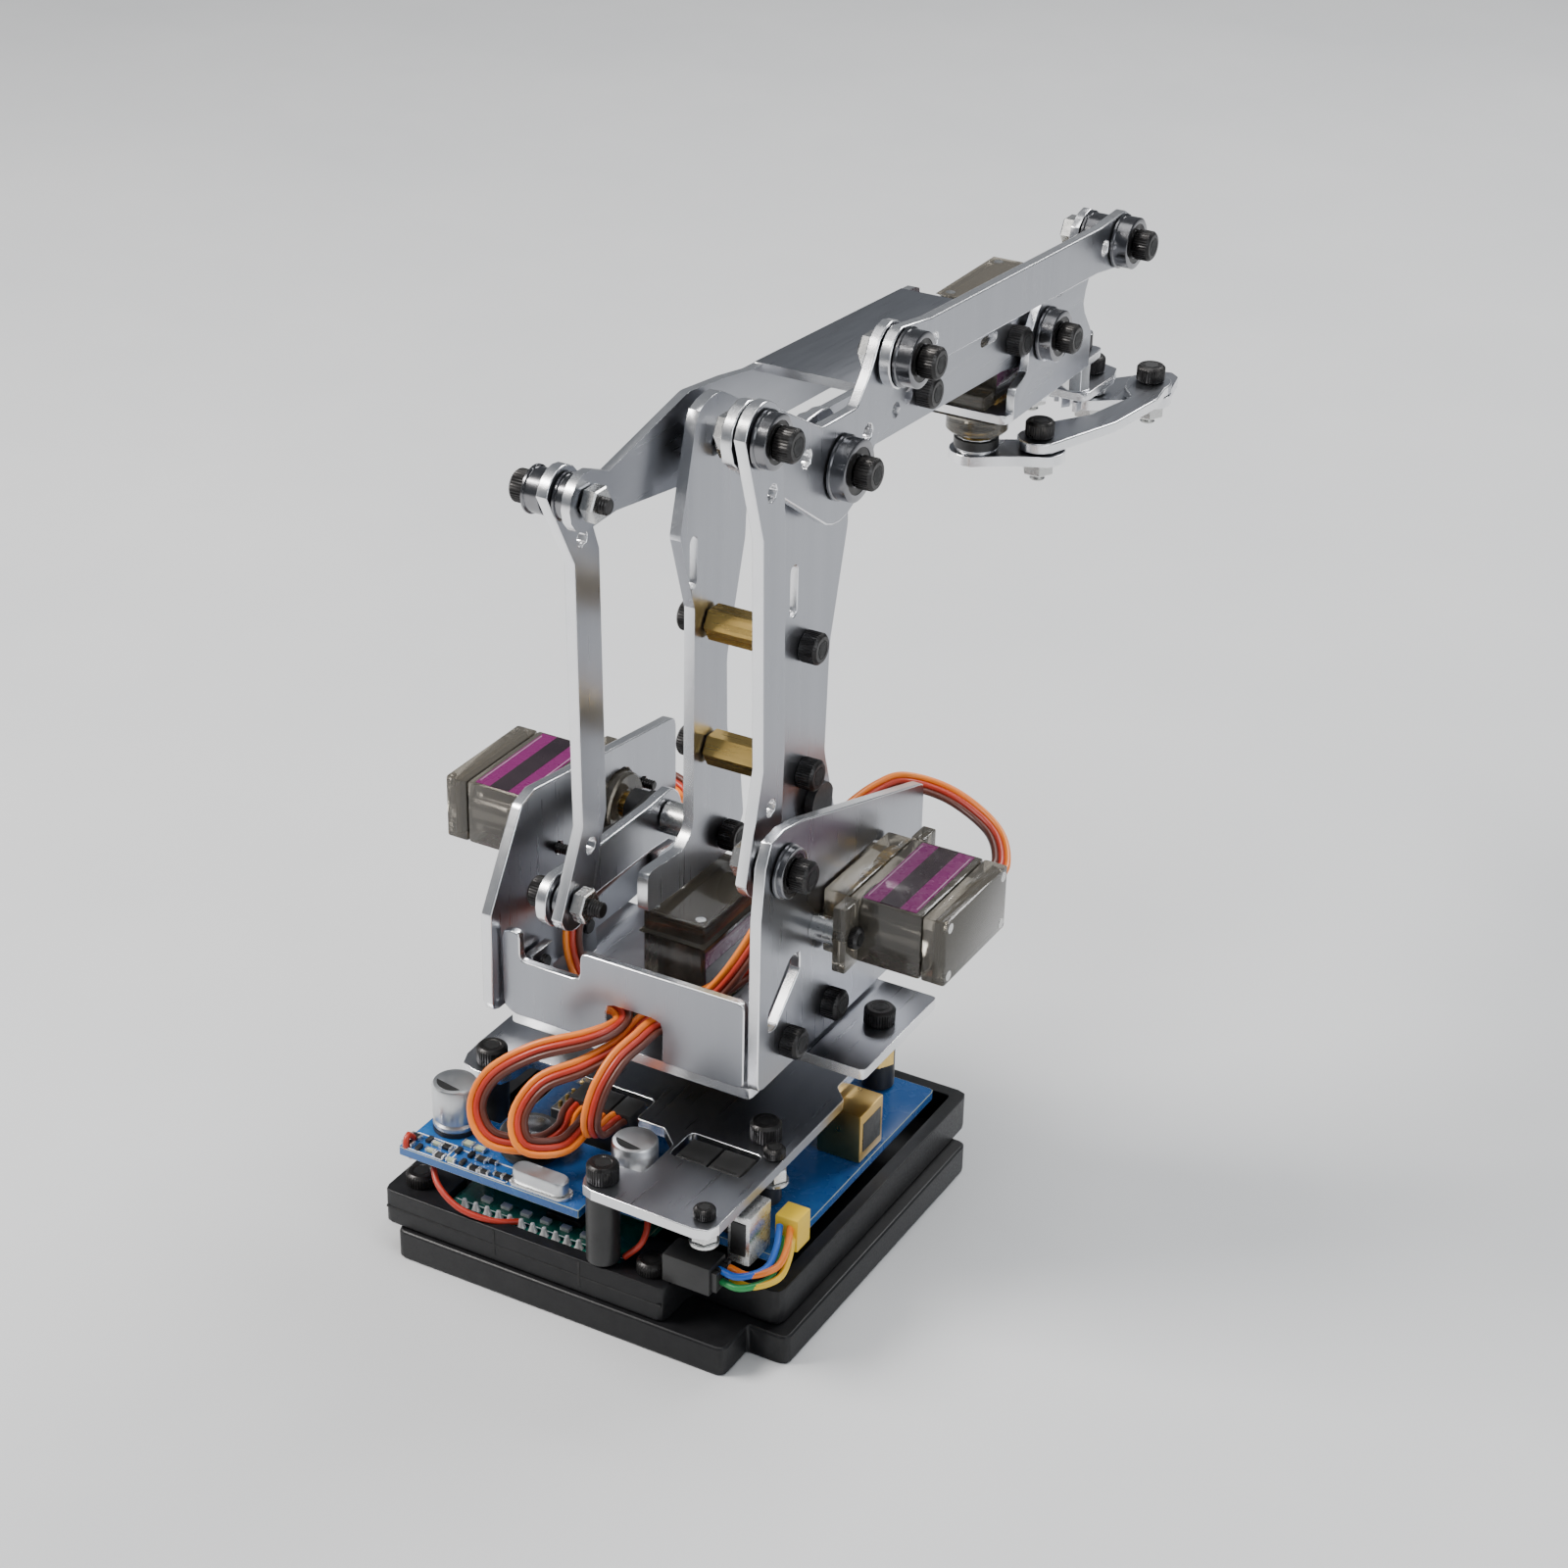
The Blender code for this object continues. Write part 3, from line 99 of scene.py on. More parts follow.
# ---- materials -------------------------------------------------------------------------------------
def finish(name, colour, other, metallic=0.0, roughness=0.4, vary=0.06, scale=400.0, bump=0.05,
           stretch=(1, 1, 1), wear=None, **inputs):
    """A surface whose colour drifts between two, with uneven gloss and a fine grain.

    `stretch` draws the grain out along an axis, and `wear` is a third colour in sparse patches.
    """
    made = bpy.data.materials.new(name)
    made.use_nodes = True
    tree = made.node_tree
    shader = tree.nodes["Principled BSDF"]
    coord = tree.nodes.new("ShaderNodeTexCoord")
    mapping = tree.nodes.new("ShaderNodeMapping")
    mapping.inputs["Scale"].default_value = stretch
    tree.links.new(coord.outputs["Object"], mapping.inputs["Vector"])

    def noise(size, detail):
        node = tree.nodes.new("ShaderNodeTexNoise")
        node.inputs["Scale"].default_value = size
        node.inputs["Detail"].default_value = detail
        tree.links.new(mapping.outputs["Vector"], node.inputs["Vector"])
        return node.outputs["Fac"]

    def mixed(factor, one, two):
        node = tree.nodes.new("ShaderNodeMix")
        node.data_type = "RGBA"
        tree.links.new(factor, node.inputs["Factor"])
        for socket, value in ((node.inputs["A"], one), (node.inputs["B"], two)):
            if isinstance(value, tuple):
                socket.default_value = (*value, 1.0)
            else:
                tree.links.new(value, socket)
        return node.outputs["Result"]

    def spread(factor, low, high, start=0.3, end=0.7):
        node = tree.nodes.new("ShaderNodeMapRange")
        node.inputs["From Min"].default_value = start
        node.inputs["From Max"].default_value = end
        node.inputs["To Min"].default_value = low
        node.inputs["To Max"].default_value = high
        tree.links.new(factor, node.inputs["Value"])
        return node.outputs["Result"]

    broad = noise(scale * 0.15, 4.0)
    fine = noise(scale, 6.0)
    colours = mixed(spread(broad, 0.0, 1.0), colour, other)
    if wear:
        colours = mixed(spread(noise(scale * 0.5, 8.0), 0.0, 0.7, 0.6, 0.72), colours, wear)
    tree.links.new(colours, shader.inputs["Base Color"])
    tree.links.new(spread(fine, roughness - vary, roughness + vary), shader.inputs["Roughness"])
    shader.inputs["Metallic"].default_value = metallic
    for key, value in inputs.items():
        shader.inputs[key.replace("_", " ")].default_value = value
    relief = tree.nodes.new("ShaderNodeBump")
    relief.inputs["Strength"].default_value = bump
    relief.inputs["Distance"].default_value = 0.00002
    tree.links.new(fine, relief.inputs["Height"])
    tree.links.new(relief.outputs["Normal"], shader.inputs["Normal"])
    return made


# Rolled sheet has its grain along the part, so standing plates and flat ones differ.
ALUMINIUM = finish("brushed_sheet_standing", (0.36, 0.37, 0.40), (0.39, 0.40, 0.43), 1.0, 0.29, 0.02,
                   1400.0, 0.03, (1, 1, 0.04))
ALUMINIUM_FLAT = finish("brushed_sheet_flat", (0.36, 0.37, 0.40), (0.39, 0.40, 0.43), 1.0, 0.29, 0.02,
                        1400.0, 0.03, (1, 0.04, 1))
CUT_EDGE = finish("cut_edge", (0.88, 0.89, 0.91), (0.95, 0.95, 0.96), 1.0, 0.25, 0.02, 1500.0, 0.03)
OXIDE = finish("black_oxide_steel", (0.022, 0.021, 0.021), (0.045, 0.043, 0.042), 0.7, 0.36, 0.1, 900.0, 0.2,
               wear=(0.10, 0.095, 0.09))
ZINC = finish("zinc_steel", (0.58, 0.58, 0.57), (0.66, 0.66, 0.64), 1.0, 0.27, 0.03, 800.0, 0.06)
RACE = finish("bearing_race", (0.20, 0.20, 0.21), (0.27, 0.27, 0.28), 1.0, 0.2, 0.03, 1500.0, 0.04)
BRASS = finish("drawn_brass", (0.70, 0.47, 0.14), (0.78, 0.55, 0.19), 1.0, 0.28, 0.05, 900.0, 0.1,
               (0.05, 1, 1))
ABS = finish("black_moulding", (0.007, 0.007, 0.008), (0.012, 0.012, 0.013), 0.0, 0.40, 0.07, 2500.0, 0.35,
             wear=(0.016, 0.016, 0.017), Specular_IOR_Level=0.32)
# Near-black flat finish laid into screw sockets, plug openings and the tray's grooves: painted shade standing
# for the dark depth of a hollow.
RECESS_SHADE = finish("painted_recess_shade", (0.004, 0.004, 0.004), (0.008, 0.008, 0.008), 0.0, 0.6, 0.1, 900.0, 0.1)
NYLON = finish("black_nylon", (0.014, 0.014, 0.014), (0.025, 0.025, 0.025), 0.0, 0.38, 0.06, 1200.0, 0.12)
INSIDE = finish("servo_board", (0.045, 0.038, 0.026), (0.075, 0.064, 0.045), 0.0, 0.45, 0.1, 500.0, 0.2)
SMOKE = finish("smoke_case", (0.33, 0.30, 0.25), (0.36, 0.33, 0.275), 0.0, 0.09, 0.03, 300.0, 0.04,
               Transmission_Weight=0.82, IOR=1.45)
MAGENTA = finish("label_magenta", (0.135, 0.010, 0.086), (0.145, 0.011, 0.092), 0.0, 0.28, 0.05, 500.0, 0.02,
                 Coat_Weight=0.2)
LABEL_BLACK = finish("label_black", (0.016, 0.01, 0.014), (0.03, 0.02, 0.025), 0.0, 0.24, 0.04, 500.0, 0.02,
                     Coat_Weight=0.2)
LABEL_LINE = finish("label_line", (0.42, 0.30, 0.38), (0.50, 0.38, 0.45), 0.0, 0.25, 0.04, 500.0, 0.02)
MASK_BLUE = finish("solder_mask_blue", (0.012, 0.075, 0.26), (0.02, 0.11, 0.34), 0.0, 0.26, 0.06, 260.0, 0.1,
                   wear=(0.02, 0.16, 0.42), Coat_Weight=0.3)
MASK_GREEN = finish("solder_mask_green", (0.008, 0.11, 0.075), (0.012, 0.16, 0.11), 0.0, 0.27, 0.06, 260.0,
                    0.1, wear=(0.02, 0.22, 0.15), Coat_Weight=0.3)
LAMINATE = finish("board_edge", (0.35, 0.40, 0.26), (0.45, 0.48, 0.33), 0.0, 0.6, 0.1, 900.0, 0.3)
CAN = finish("capacitor_can", (0.62, 0.63, 0.64), (0.74, 0.75, 0.76), 1.0, 0.36, 0.06, 900.0, 0.12,
             (1, 1, 0.1))
SOLDER = finish("solder", (0.66, 0.66, 0.65), (0.78, 0.78, 0.77), 0.85, 0.28, 0.03, 1200.0, 0.04)
TINNED = finish("tinned_pin", (0.70, 0.70, 0.69), (0.80, 0.80, 0.79), 0.35, 0.34, 0.06, 900.0, 0.05)
SILK = finish("white_print", (0.74, 0.76, 0.78), (0.82, 0.83, 0.84), 0.0, 0.55, 0.08, 1500.0, 0.1)
GOLD = finish("gold_plate", (0.62, 0.40, 0.12), (0.76, 0.52, 0.19), 1.0, 0.3, 0.03, 500.0, 0.05)
WIRES = {
    "brown": finish("wire_brown", (0.085, 0.020, 0.012), (0.11, 0.028, 0.016), 0.0, 0.4, 0.06, 700.0, 0.08),
    "red": finish("wire_red", (0.40, 0.025, 0.012), (0.48, 0.04, 0.02), 0.0, 0.38, 0.06, 700.0, 0.08),
    "orange": finish("wire_orange", (0.80, 0.17, 0.012), (0.88, 0.24, 0.02), 0.0, 0.38, 0.06, 700.0, 0.08),
    "yellow": finish("wire_yellow", (0.80, 0.50, 0.02), (0.86, 0.58, 0.04), 0.0, 0.38, 0.06, 700.0, 0.08),
    "green": finish("wire_green", (0.02, 0.26, 0.07), (0.03, 0.34, 0.10), 0.0, 0.38, 0.06, 700.0, 0.08),
    "blue": finish("wire_blue", (0.01, 0.10, 0.50), (0.02, 0.15, 0.60), 0.0, 0.38, 0.06, 700.0, 0.08),
}


# ---- shapes ----------------------------------------------------------------------------------------
FRAMES = {
    "X": Matrix(((0, 0, 1), (1, 0, 0), (0, 1, 0))).to_4x4(),
    "Z": Matrix.Identity(4),
}


def polygon(radius, sides):
    """The corners of a regular outline about its centre."""
    return [(radius * math.cos(math.tau * i / sides), radius * math.sin(math.tau * i / sides))
            for i in range(sides)]


class Piece:
    """A mesh under construction, in millimetres, whose faces each take one of its materials."""

    def __init__(self):
        self.bm = bmesh.new()
        self.materials = []
        self.frame = Matrix.Identity(4)

    def index(self, material):
        """The material's place in the piece's list, which it joins if it is new."""
        if material not in self.materials:
            self.materials.append(material)
        return self.materials.index(material)

    def lathe(self, profile, centre, axis, material, steps=32, knurl=0.0):
        """Turns (radius, height) points about an axis. The profile starts and ends on it, or is a ring's."""
        frame_of = self.frame @ Matrix.Translation(Vector(centre)) @ FRAMES[axis]
        rings = []
        for radius, height in profile:
            count = 1 if radius < 1e-6 else steps
            ring = []
            for i in range(count):
                angle = math.tau * i / steps
                r = radius - (knurl if i % 2 else 0.0)
                spot = Vector((r * math.cos(angle), r * math.sin(angle), height))
                ring.append(self.bm.verts.new(frame_of @ spot))
            rings.append(ring)
        following = rings[1:] + rings[:1] if len(rings[0]) > 1 else rings[1:]
        self.skin(zip(rings, following), steps, material)

    def skin(self, pairs, steps, material):
        """Faces between each pair of rings. A ring of one point closes the shape."""
        slot = self.index(material)
        for one, two in pairs:
            for i in range(steps):
                j = (i + 1) % steps
                if len(one) == 1:
                    corners = (one[0], two[i % len(two)], two[j % len(two)])
                elif len(two) == 1:
                    corners = (one[i], one[j], two[0])
                else:
                    corners = (one[i], one[j], two[j], two[i])
                self.bm.faces.new(corners).material_index = slot

    def prism(self, outline, low, high, centre, axis, material, chamfer=0.0):
        """An outline drawn about a centre and pulled from `low` to `high`, with eased ends."""
        frame_of = self.frame @ Matrix.Translation(Vector(centre)) @ FRAMES[axis]
        slot = self.index(material)
        levels = [(low, chamfer), (low + chamfer, 0.0), (high - chamfer, 0.0), (high, chamfer)]
        rings = []
        for height, inset in levels if chamfer else levels[::3]:
            ring = []
            for a, b in outline:
                size = math.hypot(a, b) or 1.0
                k = (size - inset) / size
                ring.append(self.bm.verts.new(frame_of @ Vector((a * k, b * k, height))))
            rings.append(ring)
        self.skin(zip(rings, rings[1:]), len(outline), material)
        self.bm.faces.new(list(reversed(rings[0]))).material_index = slot
        self.bm.faces.new(rings[-1]).material_index = slot

    def block(self, low, high, material, ease=0.25):
        """A rectangular block with eased edges."""
        slot = self.index(material)
        made = bmesh.ops.create_cube(self.bm, size=1.0)["verts"]
        for v in made:
            v.co = self.frame @ Vector([low[k] if v.co[k] < 0 else high[k] for k in range(3)])
        faces = {f for v in made for f in v.link_faces}
        for face in faces:
            face.material_index = slot
        if ease:
            edges = list({e for f in faces for e in f.edges})
            bmesh.ops.bevel(self.bm, geom=edges, offset=ease, segments=2, profile=0.6, affect="EDGES",
                            material=slot)

    def cap_screw(self, seat, top, centre, axis, radius=2.75, tip=None, shank=1.45):
        """A knurled socket head from its seat to its top, and its threaded shank down to `tip`."""
        way = 1.0 if top > seat else -1.0
        self.lathe([(0, seat), (radius - 0.1, seat), (radius, seat + way * 0.15), (radius, top - way * 0.5)]
                   + [(radius - 0.35, top - way * 0.1), (radius - 0.5, top), (radius * 0.6, top)]
                   + [(radius * 0.56, top - way * 0.08), (0, top - way * 0.08)], centre, axis, OXIDE, 72, 0.1)
        # The hex socket is only a shallow dip with a near-black hexagon in it: painted shade standing for the
        # socket's depth.
        low, high = sorted((top - way * 0.1, top - way * 0.03))
        self.prism(polygon(radius * 0.52, 6), low, high, centre, axis, RECESS_SHADE)
        if tip is not None:
            self.thread(seat, tip, centre, axis, OXIDE, shank)

    def thread(self, start, end, centre, axis, material, radius=1.45, pitch=0.5):
        """A screw thread, as close ridges."""
        way = 1.0 if end > start else -1.0
        count = max(1, int(abs(end - start) / pitch))
        profile = [(0, start), (radius - 0.22, start)]
        for i in range(count):
            profile += [(radius, start + way * pitch * (i + 0.5)),
                        (radius - 0.22, start + way * pitch * (i + 1))]
        self.lathe([*profile, (0, profile[-1][1])], centre, axis, material, 16)

    def nut(self, low, high, centre, axis, material, radius=3.05):
        """A hexagon nut with eased corners, on its screw."""
        self.prism(polygon(radius, 6), low, high, centre, axis, material, 0.25)

    def bearing(self, low, high, centre, axis, radius):
        """A flanged ball bearing: bright races with a dark shield between them."""
        mid = 0.62 * radius + 0.55
        self.lathe([(1.6, low), (radius, low), (radius, low + 0.35), (radius - 0.3, low + 0.5)]
                   + [(radius - 0.3, high - 0.1), (radius - 0.45, high), (mid, high), (mid, high - 0.15)]
                   + [(1.6, high - 0.15)], centre, axis, RACE, 36)
        self.lathe([(2.7, high - 0.2), (mid - 0.05, high - 0.2), (mid - 0.05, high - 0.08),
                    (2.7, high - 0.08)], centre, axis, OXIDE, 36)
        self.lathe([(1.6, high - 0.2), (2.6, high - 0.2), (2.6, high), (1.6, high)], centre, axis, RACE, 32)

    def tube(self, points, radius, material, sides=12, flat=None, aside=0.0):
        """A round wire along points, or one of a ribbon's, `aside` of its middle, whose flat faces `flat`."""
        ways = [(b - a).normalized() for a, b in zip(points, points[1:])]
        ways = [ways[0]] + [(a + b).normalized() for a, b in zip(ways, ways[1:])] + [ways[-1]]
        side = ways[0].cross(flat) if flat else ways[0].orthogonal()
        slot = self.index(material)
        rings = []
        for point, way in zip(points, ways):
            if flat:
                level = way.cross(flat)
                side += level * (0.35 if level.dot(side) > 0 else -0.35)
            side = (side - way * side.dot(way)).normalized()
            beside = way.cross(side)
            ring = []
            for i in range(sides):
                angle = math.tau * i / sides
                spot = side * (aside + radius * math.cos(angle)) + beside * (radius * math.sin(angle))
                ring.append(self.bm.verts.new(point + spot))
            rings.append(ring)
        self.skin(zip(rings, rings[1:]), sides, material)
        self.bm.faces.new(list(reversed(rings[0]))).material_index = slot
        self.bm.faces.new(rings[-1]).material_index = slot

    def place(self, name, body=None, replaces=(), bevel=0.0, angle=35):
        """Makes the object, in metres, and hangs it on its body."""
        bmesh.ops.recalc_face_normals(self.bm, faces=self.bm.faces)
        mesh = bpy.data.meshes.new(name)
        self.bm.to_mesh(mesh)
        self.bm.free()
        mesh.transform(Matrix.Scale(MM, 4))
        for material in self.materials:
            mesh.materials.append(material)
        mesh.shade_smooth()
        mesh.set_sharp_from_angle(angle=math.radians(angle))
        obj = bpy.data.objects.new(name, mesh)
        bpy.context.scene.collection.objects.link(obj)
        if bevel:
            ease(obj, bevel)
        if body:
            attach(obj, body)
        if replaces:
            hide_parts(*replaces)
        return obj


def ease(obj, width, material=-1):
    """Rounds an object's sharp edges, in the material at that place in its list."""
    bevel = obj.modifiers.new("eased_edges", "BEVEL")
    bevel.width = width * MM
    bevel.segments = 2
    bevel.limit_method = "ANGLE"
    bevel.angle_limit = math.radians(32)
    bevel.material = material
    bevel.use_clamp_overlap = True


def eased_copy(node, face, edge, width=0.22, sheet=False):
    """Stands for a CAD node with the same shape, its edges eased and of their own finish.

    On sheet metal the cut faces, which are those deeper than the sheet is thick, have it too.
    """
    source = frame["nodes"][node]
    bm = bmesh.new()
    bm.from_mesh(source.data)
    bmesh.ops.remove_doubles(bm, verts=bm.verts, dist=1e-6)
    bmesh.ops.dissolve_limit(bm, angle_limit=math.radians(1), verts=bm.verts, edges=bm.edges)
    bmesh.ops.connect_verts_concave(bm, faces=bm.faces)
    solid = BVHTree.FromBMesh(bm)
    for f in bm.faces:
        far = solid.ray_cast(f.calc_center_median() - f.normal * 1e-5, -f.normal)[3]
        f.material_index = 1 if sheet and far is not None and far > SHEET * MM else 0
        f.smooth = True
    mesh = bpy.data.meshes.new(node + "_eased")
    bm.to_mesh(mesh)
    bm.free()
    mesh.materials.append(face)
    mesh.materials.append(edge)
    mesh.set_sharp_from_angle(angle=math.radians(40))
    obj = bpy.data.objects.new(node + "_eased", mesh)
    bpy.context.scene.collection.objects.link(obj)
    ease(obj, width, 1)
    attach(obj, source["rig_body"])
    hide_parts(node)
    return obj


def centre_of(node):
    """The middle of a CAD node's box, in millimetres."""
    low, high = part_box(node)
    return (low + high) / 2 / MM


# ---- cables ----------------------------------------------------------------------------------------
LEAD_ROUTES = {
    "elbow_servo_lead": [
        (-44.5, 24.2, 60.0), (-45.0, 29.5, 59.8), (-39.5, 37.5, 58.6), (-29.5, 41.8, 57.0),
        (-22.2, 39.0, 55.5), (-21.6, 28.0, 54.0), (-21.8, 14.0, 53.6), (-21.0, 1.0, 53.0),
        (-17.5, -7.5, 50.6), (-10.5, -14.0, 48.0), (-1.4, -17.6, 47.3), (0.0, -21.6, 47.0),
        (-2.6, -26.0, 46.2), (-10.5, -30.5, 43.4), (-17.0, -33.5, 38.2), (-18.5, -36.0, 32.6),
        (-14.5, -37.5, 28.8), (-8.0, -34.0, 27.9), (-6.5, -28.5, 27.9), (-8.2, -23.5, 27.8),
        (-9.0, -19.0, 27.4),
    ],
    "yaw_servo_lead": [
        (0.0, 19.9, 55.0), (0.6, 24.0, 54.6), (6.0, 28.0, 52.6), (11.0, 24.0, 50.4),
        (11.4, 12.0, 48.6), (10.0, 0.0, 47.6), (6.4, -9.5, 46.8), (2.8, -15.5, 46.0),
        (2.3, -19.2, 45.6), (1.6, -23.0, 44.4), (-2.2, -28.5, 42.2), (-7.5, -33.0, 39.6),
        (-9.5, -36.8, 34.6), (-7.0, -38.6, 30.8), (-2.5, -35.0, 30.0), (-2.5, -29.0, 29.6),
        (-4.2, -23.5, 28.2), (-4.6, -19.0, 27.4),
    ],
    "shoulder_servo_lead": [
        (44.5, 24.2, 66.0), (45.0, 29.5, 66.4), (39.5, 37.5, 67.6), (29.5, 41.8, 69.4),
        (22.0, 39.2, 71.4), (21.4, 30.0, 74.0), (21.8, 18.0, 75.4), (21.8, 6.0, 74.6),
        (21.0, -4.0, 70.0), (18.6, -10.5, 61.5), (14.0, -13.8, 53.5), (7.6, -16.4, 48.2),
        (5.6, -19.2, 47.2), (5.0, -22.0, 46.4), (3.6, -26.5, 44.6), (2.4, -30.5, 40.4),
        (2.2, -33.0, 35.6), (2.0, -31.5, 31.8), (0.9, -26.0, 29.6), (-0.2, -22.0, 28.2),
        (-0.4, -19.0, 27.4),
    ],
}
LEAD_WIRE = 0.6             # radius of each of a lead's three wires
RIBBON_FACES = Vector((0.35, -0.6, 0.72))
JUMPER_ROUTE = [
    (29.4, -35.4, 16.4),
    (33.4, -35.8, 16.6),
    (36.6, -32.6, 17.4),
    (36.2, -28.4, 18.6),
    (34.4, -24.0, 19.8),
]
JUMPER_WIRE = 0.6
BUNDLE_SPREAD = 1.3         # about how far each of its four wires is from the bundle's middle
BUNDLE_SIDE = Vector((0.8, 0.6, 0.1))
BUNDLE_UP = Vector((-0.3, 0.2, 1.0))


def smooth(route, step):
    """Points about `step` apart on a Catmull-Rom curve through the route."""
    knots = [Vector(p) for p in route]
    knots = [2 * knots[0] - knots[1], *knots, 2 * knots[-1] - knots[-2]]
    points = []
    for a, b, c, d in zip(knots, knots[1:], knots[2:], knots[3:]):
        count = max(1, round((c - b).length / step))
        for i in range(count):
            t = i / count
            bend = (2 * a - 5 * b + 4 * c - d) * t**2 + (3 * b - a - 3 * c + d) * t**3
            points.append(0.5 * (2 * b + (c - a) * t + bend))
    points.append(knots[-2])
    return points


for name, route in LEAD_ROUTES.items():
    points = smooth(route, 1.2)
    lead = Piece()
    for colour, aside in (("brown", -1.0), ("red", 0.0), ("orange", 1.0)):
        lead.tube(points, LEAD_WIRE, WIRES[colour], 10, RIBBON_FACES, aside * 1.9 * LEAD_WIRE)
    obj = lead.place(name + "_wires", None, angle=60)
    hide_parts(name)
    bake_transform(obj)

bundle = smooth(JUMPER_ROUTE, 0.8)
for i, colour in enumerate(("orange", "yellow", "green", "blue")):
    wire = Piece()
    angle = math.tau * (i + 0.5) / 4
    aside, up = Vector((math.sin(angle), math.cos(angle))) * BUNDLE_SPREAD
    path = [p + BUNDLE_UP * up + BUNDLE_SIDE * aside for p in bundle]
    wire.tube(path, JUMPER_WIRE, WIRES[colour], 10)
    obj = wire.place("jumper_" + colour, "base", angle=60)
    if i == 0:
        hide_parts("jumper_wires")


# ---- sheet metal -----------------------------------------------------------------------------------
STANDING = [
    "left_side_plate", "right_side_plate", "rear_plate", "arm_left_plate", "arm_right_plate", "crank_arm",
    "rear_link", "stabiliser_link", "elbow_plate", "front_link",
]
FLAT = ["base_plate", "turret_floor", "gripper_lever", "drive_link", "right_jaw", "left_jaw"]
for node in STANDING:
    eased_copy(node, ALUMINIUM, CUT_EDGE, sheet=True)
for node in FLAT + ["upper_arm", "gripper_bracket", "gripper_plate"]:
    eased_copy(node, ALUMINIUM_FLAT, CUT_EDGE, sheet=True)
for node in ("base_slab", "base_tray"):
    eased_copy(node, ABS, ABS, 0.5)
for node in ("yaw_horn", "shoulder_horn", "elbow_horn", "servo_header", "signal_plugs"):
    eased_copy(node, NYLON, NYLON, 0.3)


# ---- pins ------------------------------------------------------------------------------------------
# Each pin's pieces from one end to the other: what it is, its radius, and where it starts and ends.
PINS = {
    "fixed_pin": [("nut", 3.0, 17.3, 19.7), ("ring", 3.6, 22.3, 23.7), ("bearing", 4.6, 26.3, 27.8),
                  ("head", 2.75, 28.1, 31.1)],
    "shoulder_pin": [("ring", 3.0, -13.7, -4.8), ("head", 2.75, -2.2, 0.8)],
    "elbow_pin_left": [("back_head", 2.75, -11.5, -8.5), ("bearing", 5.0, -6.3, -4.8),
                       ("nut", 3.0, -2.2, 0.2)],
    "elbow_pin_right": [("nut", 3.0, 8.6, 11.0), ("bearing", 4.6, 15.7, 17.2), ("bearing", 5.5, 19.8, 22.8),
                        ("head", 2.75, 23.1, 26.1)],
    "crank_pin": [("back_head", 2.75, -19.3, -16.3), ("ring", 3.2, -13.7, -13.2), ("nut", 3.0, -10.6, -8.2)],
    "rear_link_pin": [("back_head", 2.75, -19.6, -16.6), ("bearing", 4.0, -16.3, -13.2),
                      ("bearing", 4.0, -10.6, -8.5), ("nut", 3.0, -6.3, -3.9)],
    "elbow_plate_rear_pin": [("nut", 3.0, 14.8, 17.2), ("bearing", 4.7, 22.3, 24.6),
                             ("head", 2.75, 24.9, 27.9)],
    "elbow_plate_nose_pin": [("nut", 3.0, 14.8, 17.2), ("bearing", 5.0, 22.3, 25.3),
                             ("head", 2.75, 25.6, 28.6)],
    "wrist_pin": [("bearing", 5.0, 15.9, 18.7), ("head", 2.75, 19.0, 22.0)],
    "bracket_pin": [("nut", 3.0, 11.3, 13.7), ("bearing", 4.5, 15.9, 19.7), ("bearing", 5.0, 22.3, 25.3),
                    ("head", 2.75, 25.6, 28.6)],
    "right_jaw_pin": [("nut", 3.0, 105.2, 107.6), ("ring", 3.2, 110.2, 112.2), ("head", 2.75, 114.4, 117.4)],
    "left_jaw_pin": [("nut", 3.0, 105.2, 107.6), ("ring", 3.2, 110.2, 112.2), ("head", 2.75, 114.4, 117.4)],
    "lever_pin": [("nut", 3.0, 105.2, 107.6), ("head", 2.75, 112.5, 115.5)],
    "drive_pin": [("nut", 3.0, 105.2, 107.6), ("head", 2.75, 112.5, 115.5)],
}


def detailed_pin(node, collars):
    """A pivot's screw along its CAD pin, with the nut, rings and bearings on it."""
    low, high = (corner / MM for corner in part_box(node))
    axis = "Z" if high.z - low.z > 11 and high.x - low.x < 7 else "X"
    middle = (low + high) / 2
    along = 2 if axis == "Z" else 0
    start, end = low[along], high[along]
    middle[along] = 0.0
    body = frame["nodes"][node]["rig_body"]
    pin = Piece()
    pin.thread(start + 0.1, end - 0.6, middle, axis, ZINC if axis == "Z" else OXIDE)
    for kind, radius, near, far in collars:
        if kind == "head":
            pin.cap_screw(near, far, middle, axis, radius)
        elif kind == "back_head":
            pin.cap_screw(far, near, middle, axis, radius)
        elif kind == "nut":
            pin.nut(near, far, middle, axis, ZINC)
        elif kind == "bearing":
            pin.bearing(near, far, middle, axis, radius)
        else:
            pin.lathe([(1.6, near), (radius, near), (radius, far), (1.6, far)], middle, axis, ZINC, 32)
    pin.place(node + "_set", body, (node,))


for node, collars in PINS.items():
    detailed_pin(node, collars)

for node in ("arm_spacer_upper", "arm_spacer_lower"):
    middle = centre_of(node)
    middle.x = 0.0
    spacer = Piece()
    spacer.nut(-2.2, 13.1, middle, "X", BRASS, 3.15)
    spacer.cap_screw(-4.6, -7.8, middle, "X", tip=-2.3)
    spacer.cap_screw(15.5, 18.7, middle, "X", tip=13.2)
    spacer.place(node + "_set", "lower_arm", (node,))


# ---- servos ----------------------------------------------------------------------------------------
CASE_FAR = 16.8             # from the shaft to the case's far end, and to its near end
CASE_NEAR = 6.0
CASE_HALF = 6.1
CASE_TOP = 22.7
TAB_LOW = 15.9
TAB_HIGH = 18.4
TAB_REACH = 4.8
LABEL = (5.9, 15.7)         # where the label starts and ends above the case's bottom
BAND = 1.05 / 3.4           # the share of the label that each of its two magenta bands takes
STICKER = 0.12              # how far the case's sides lie below the face of the label


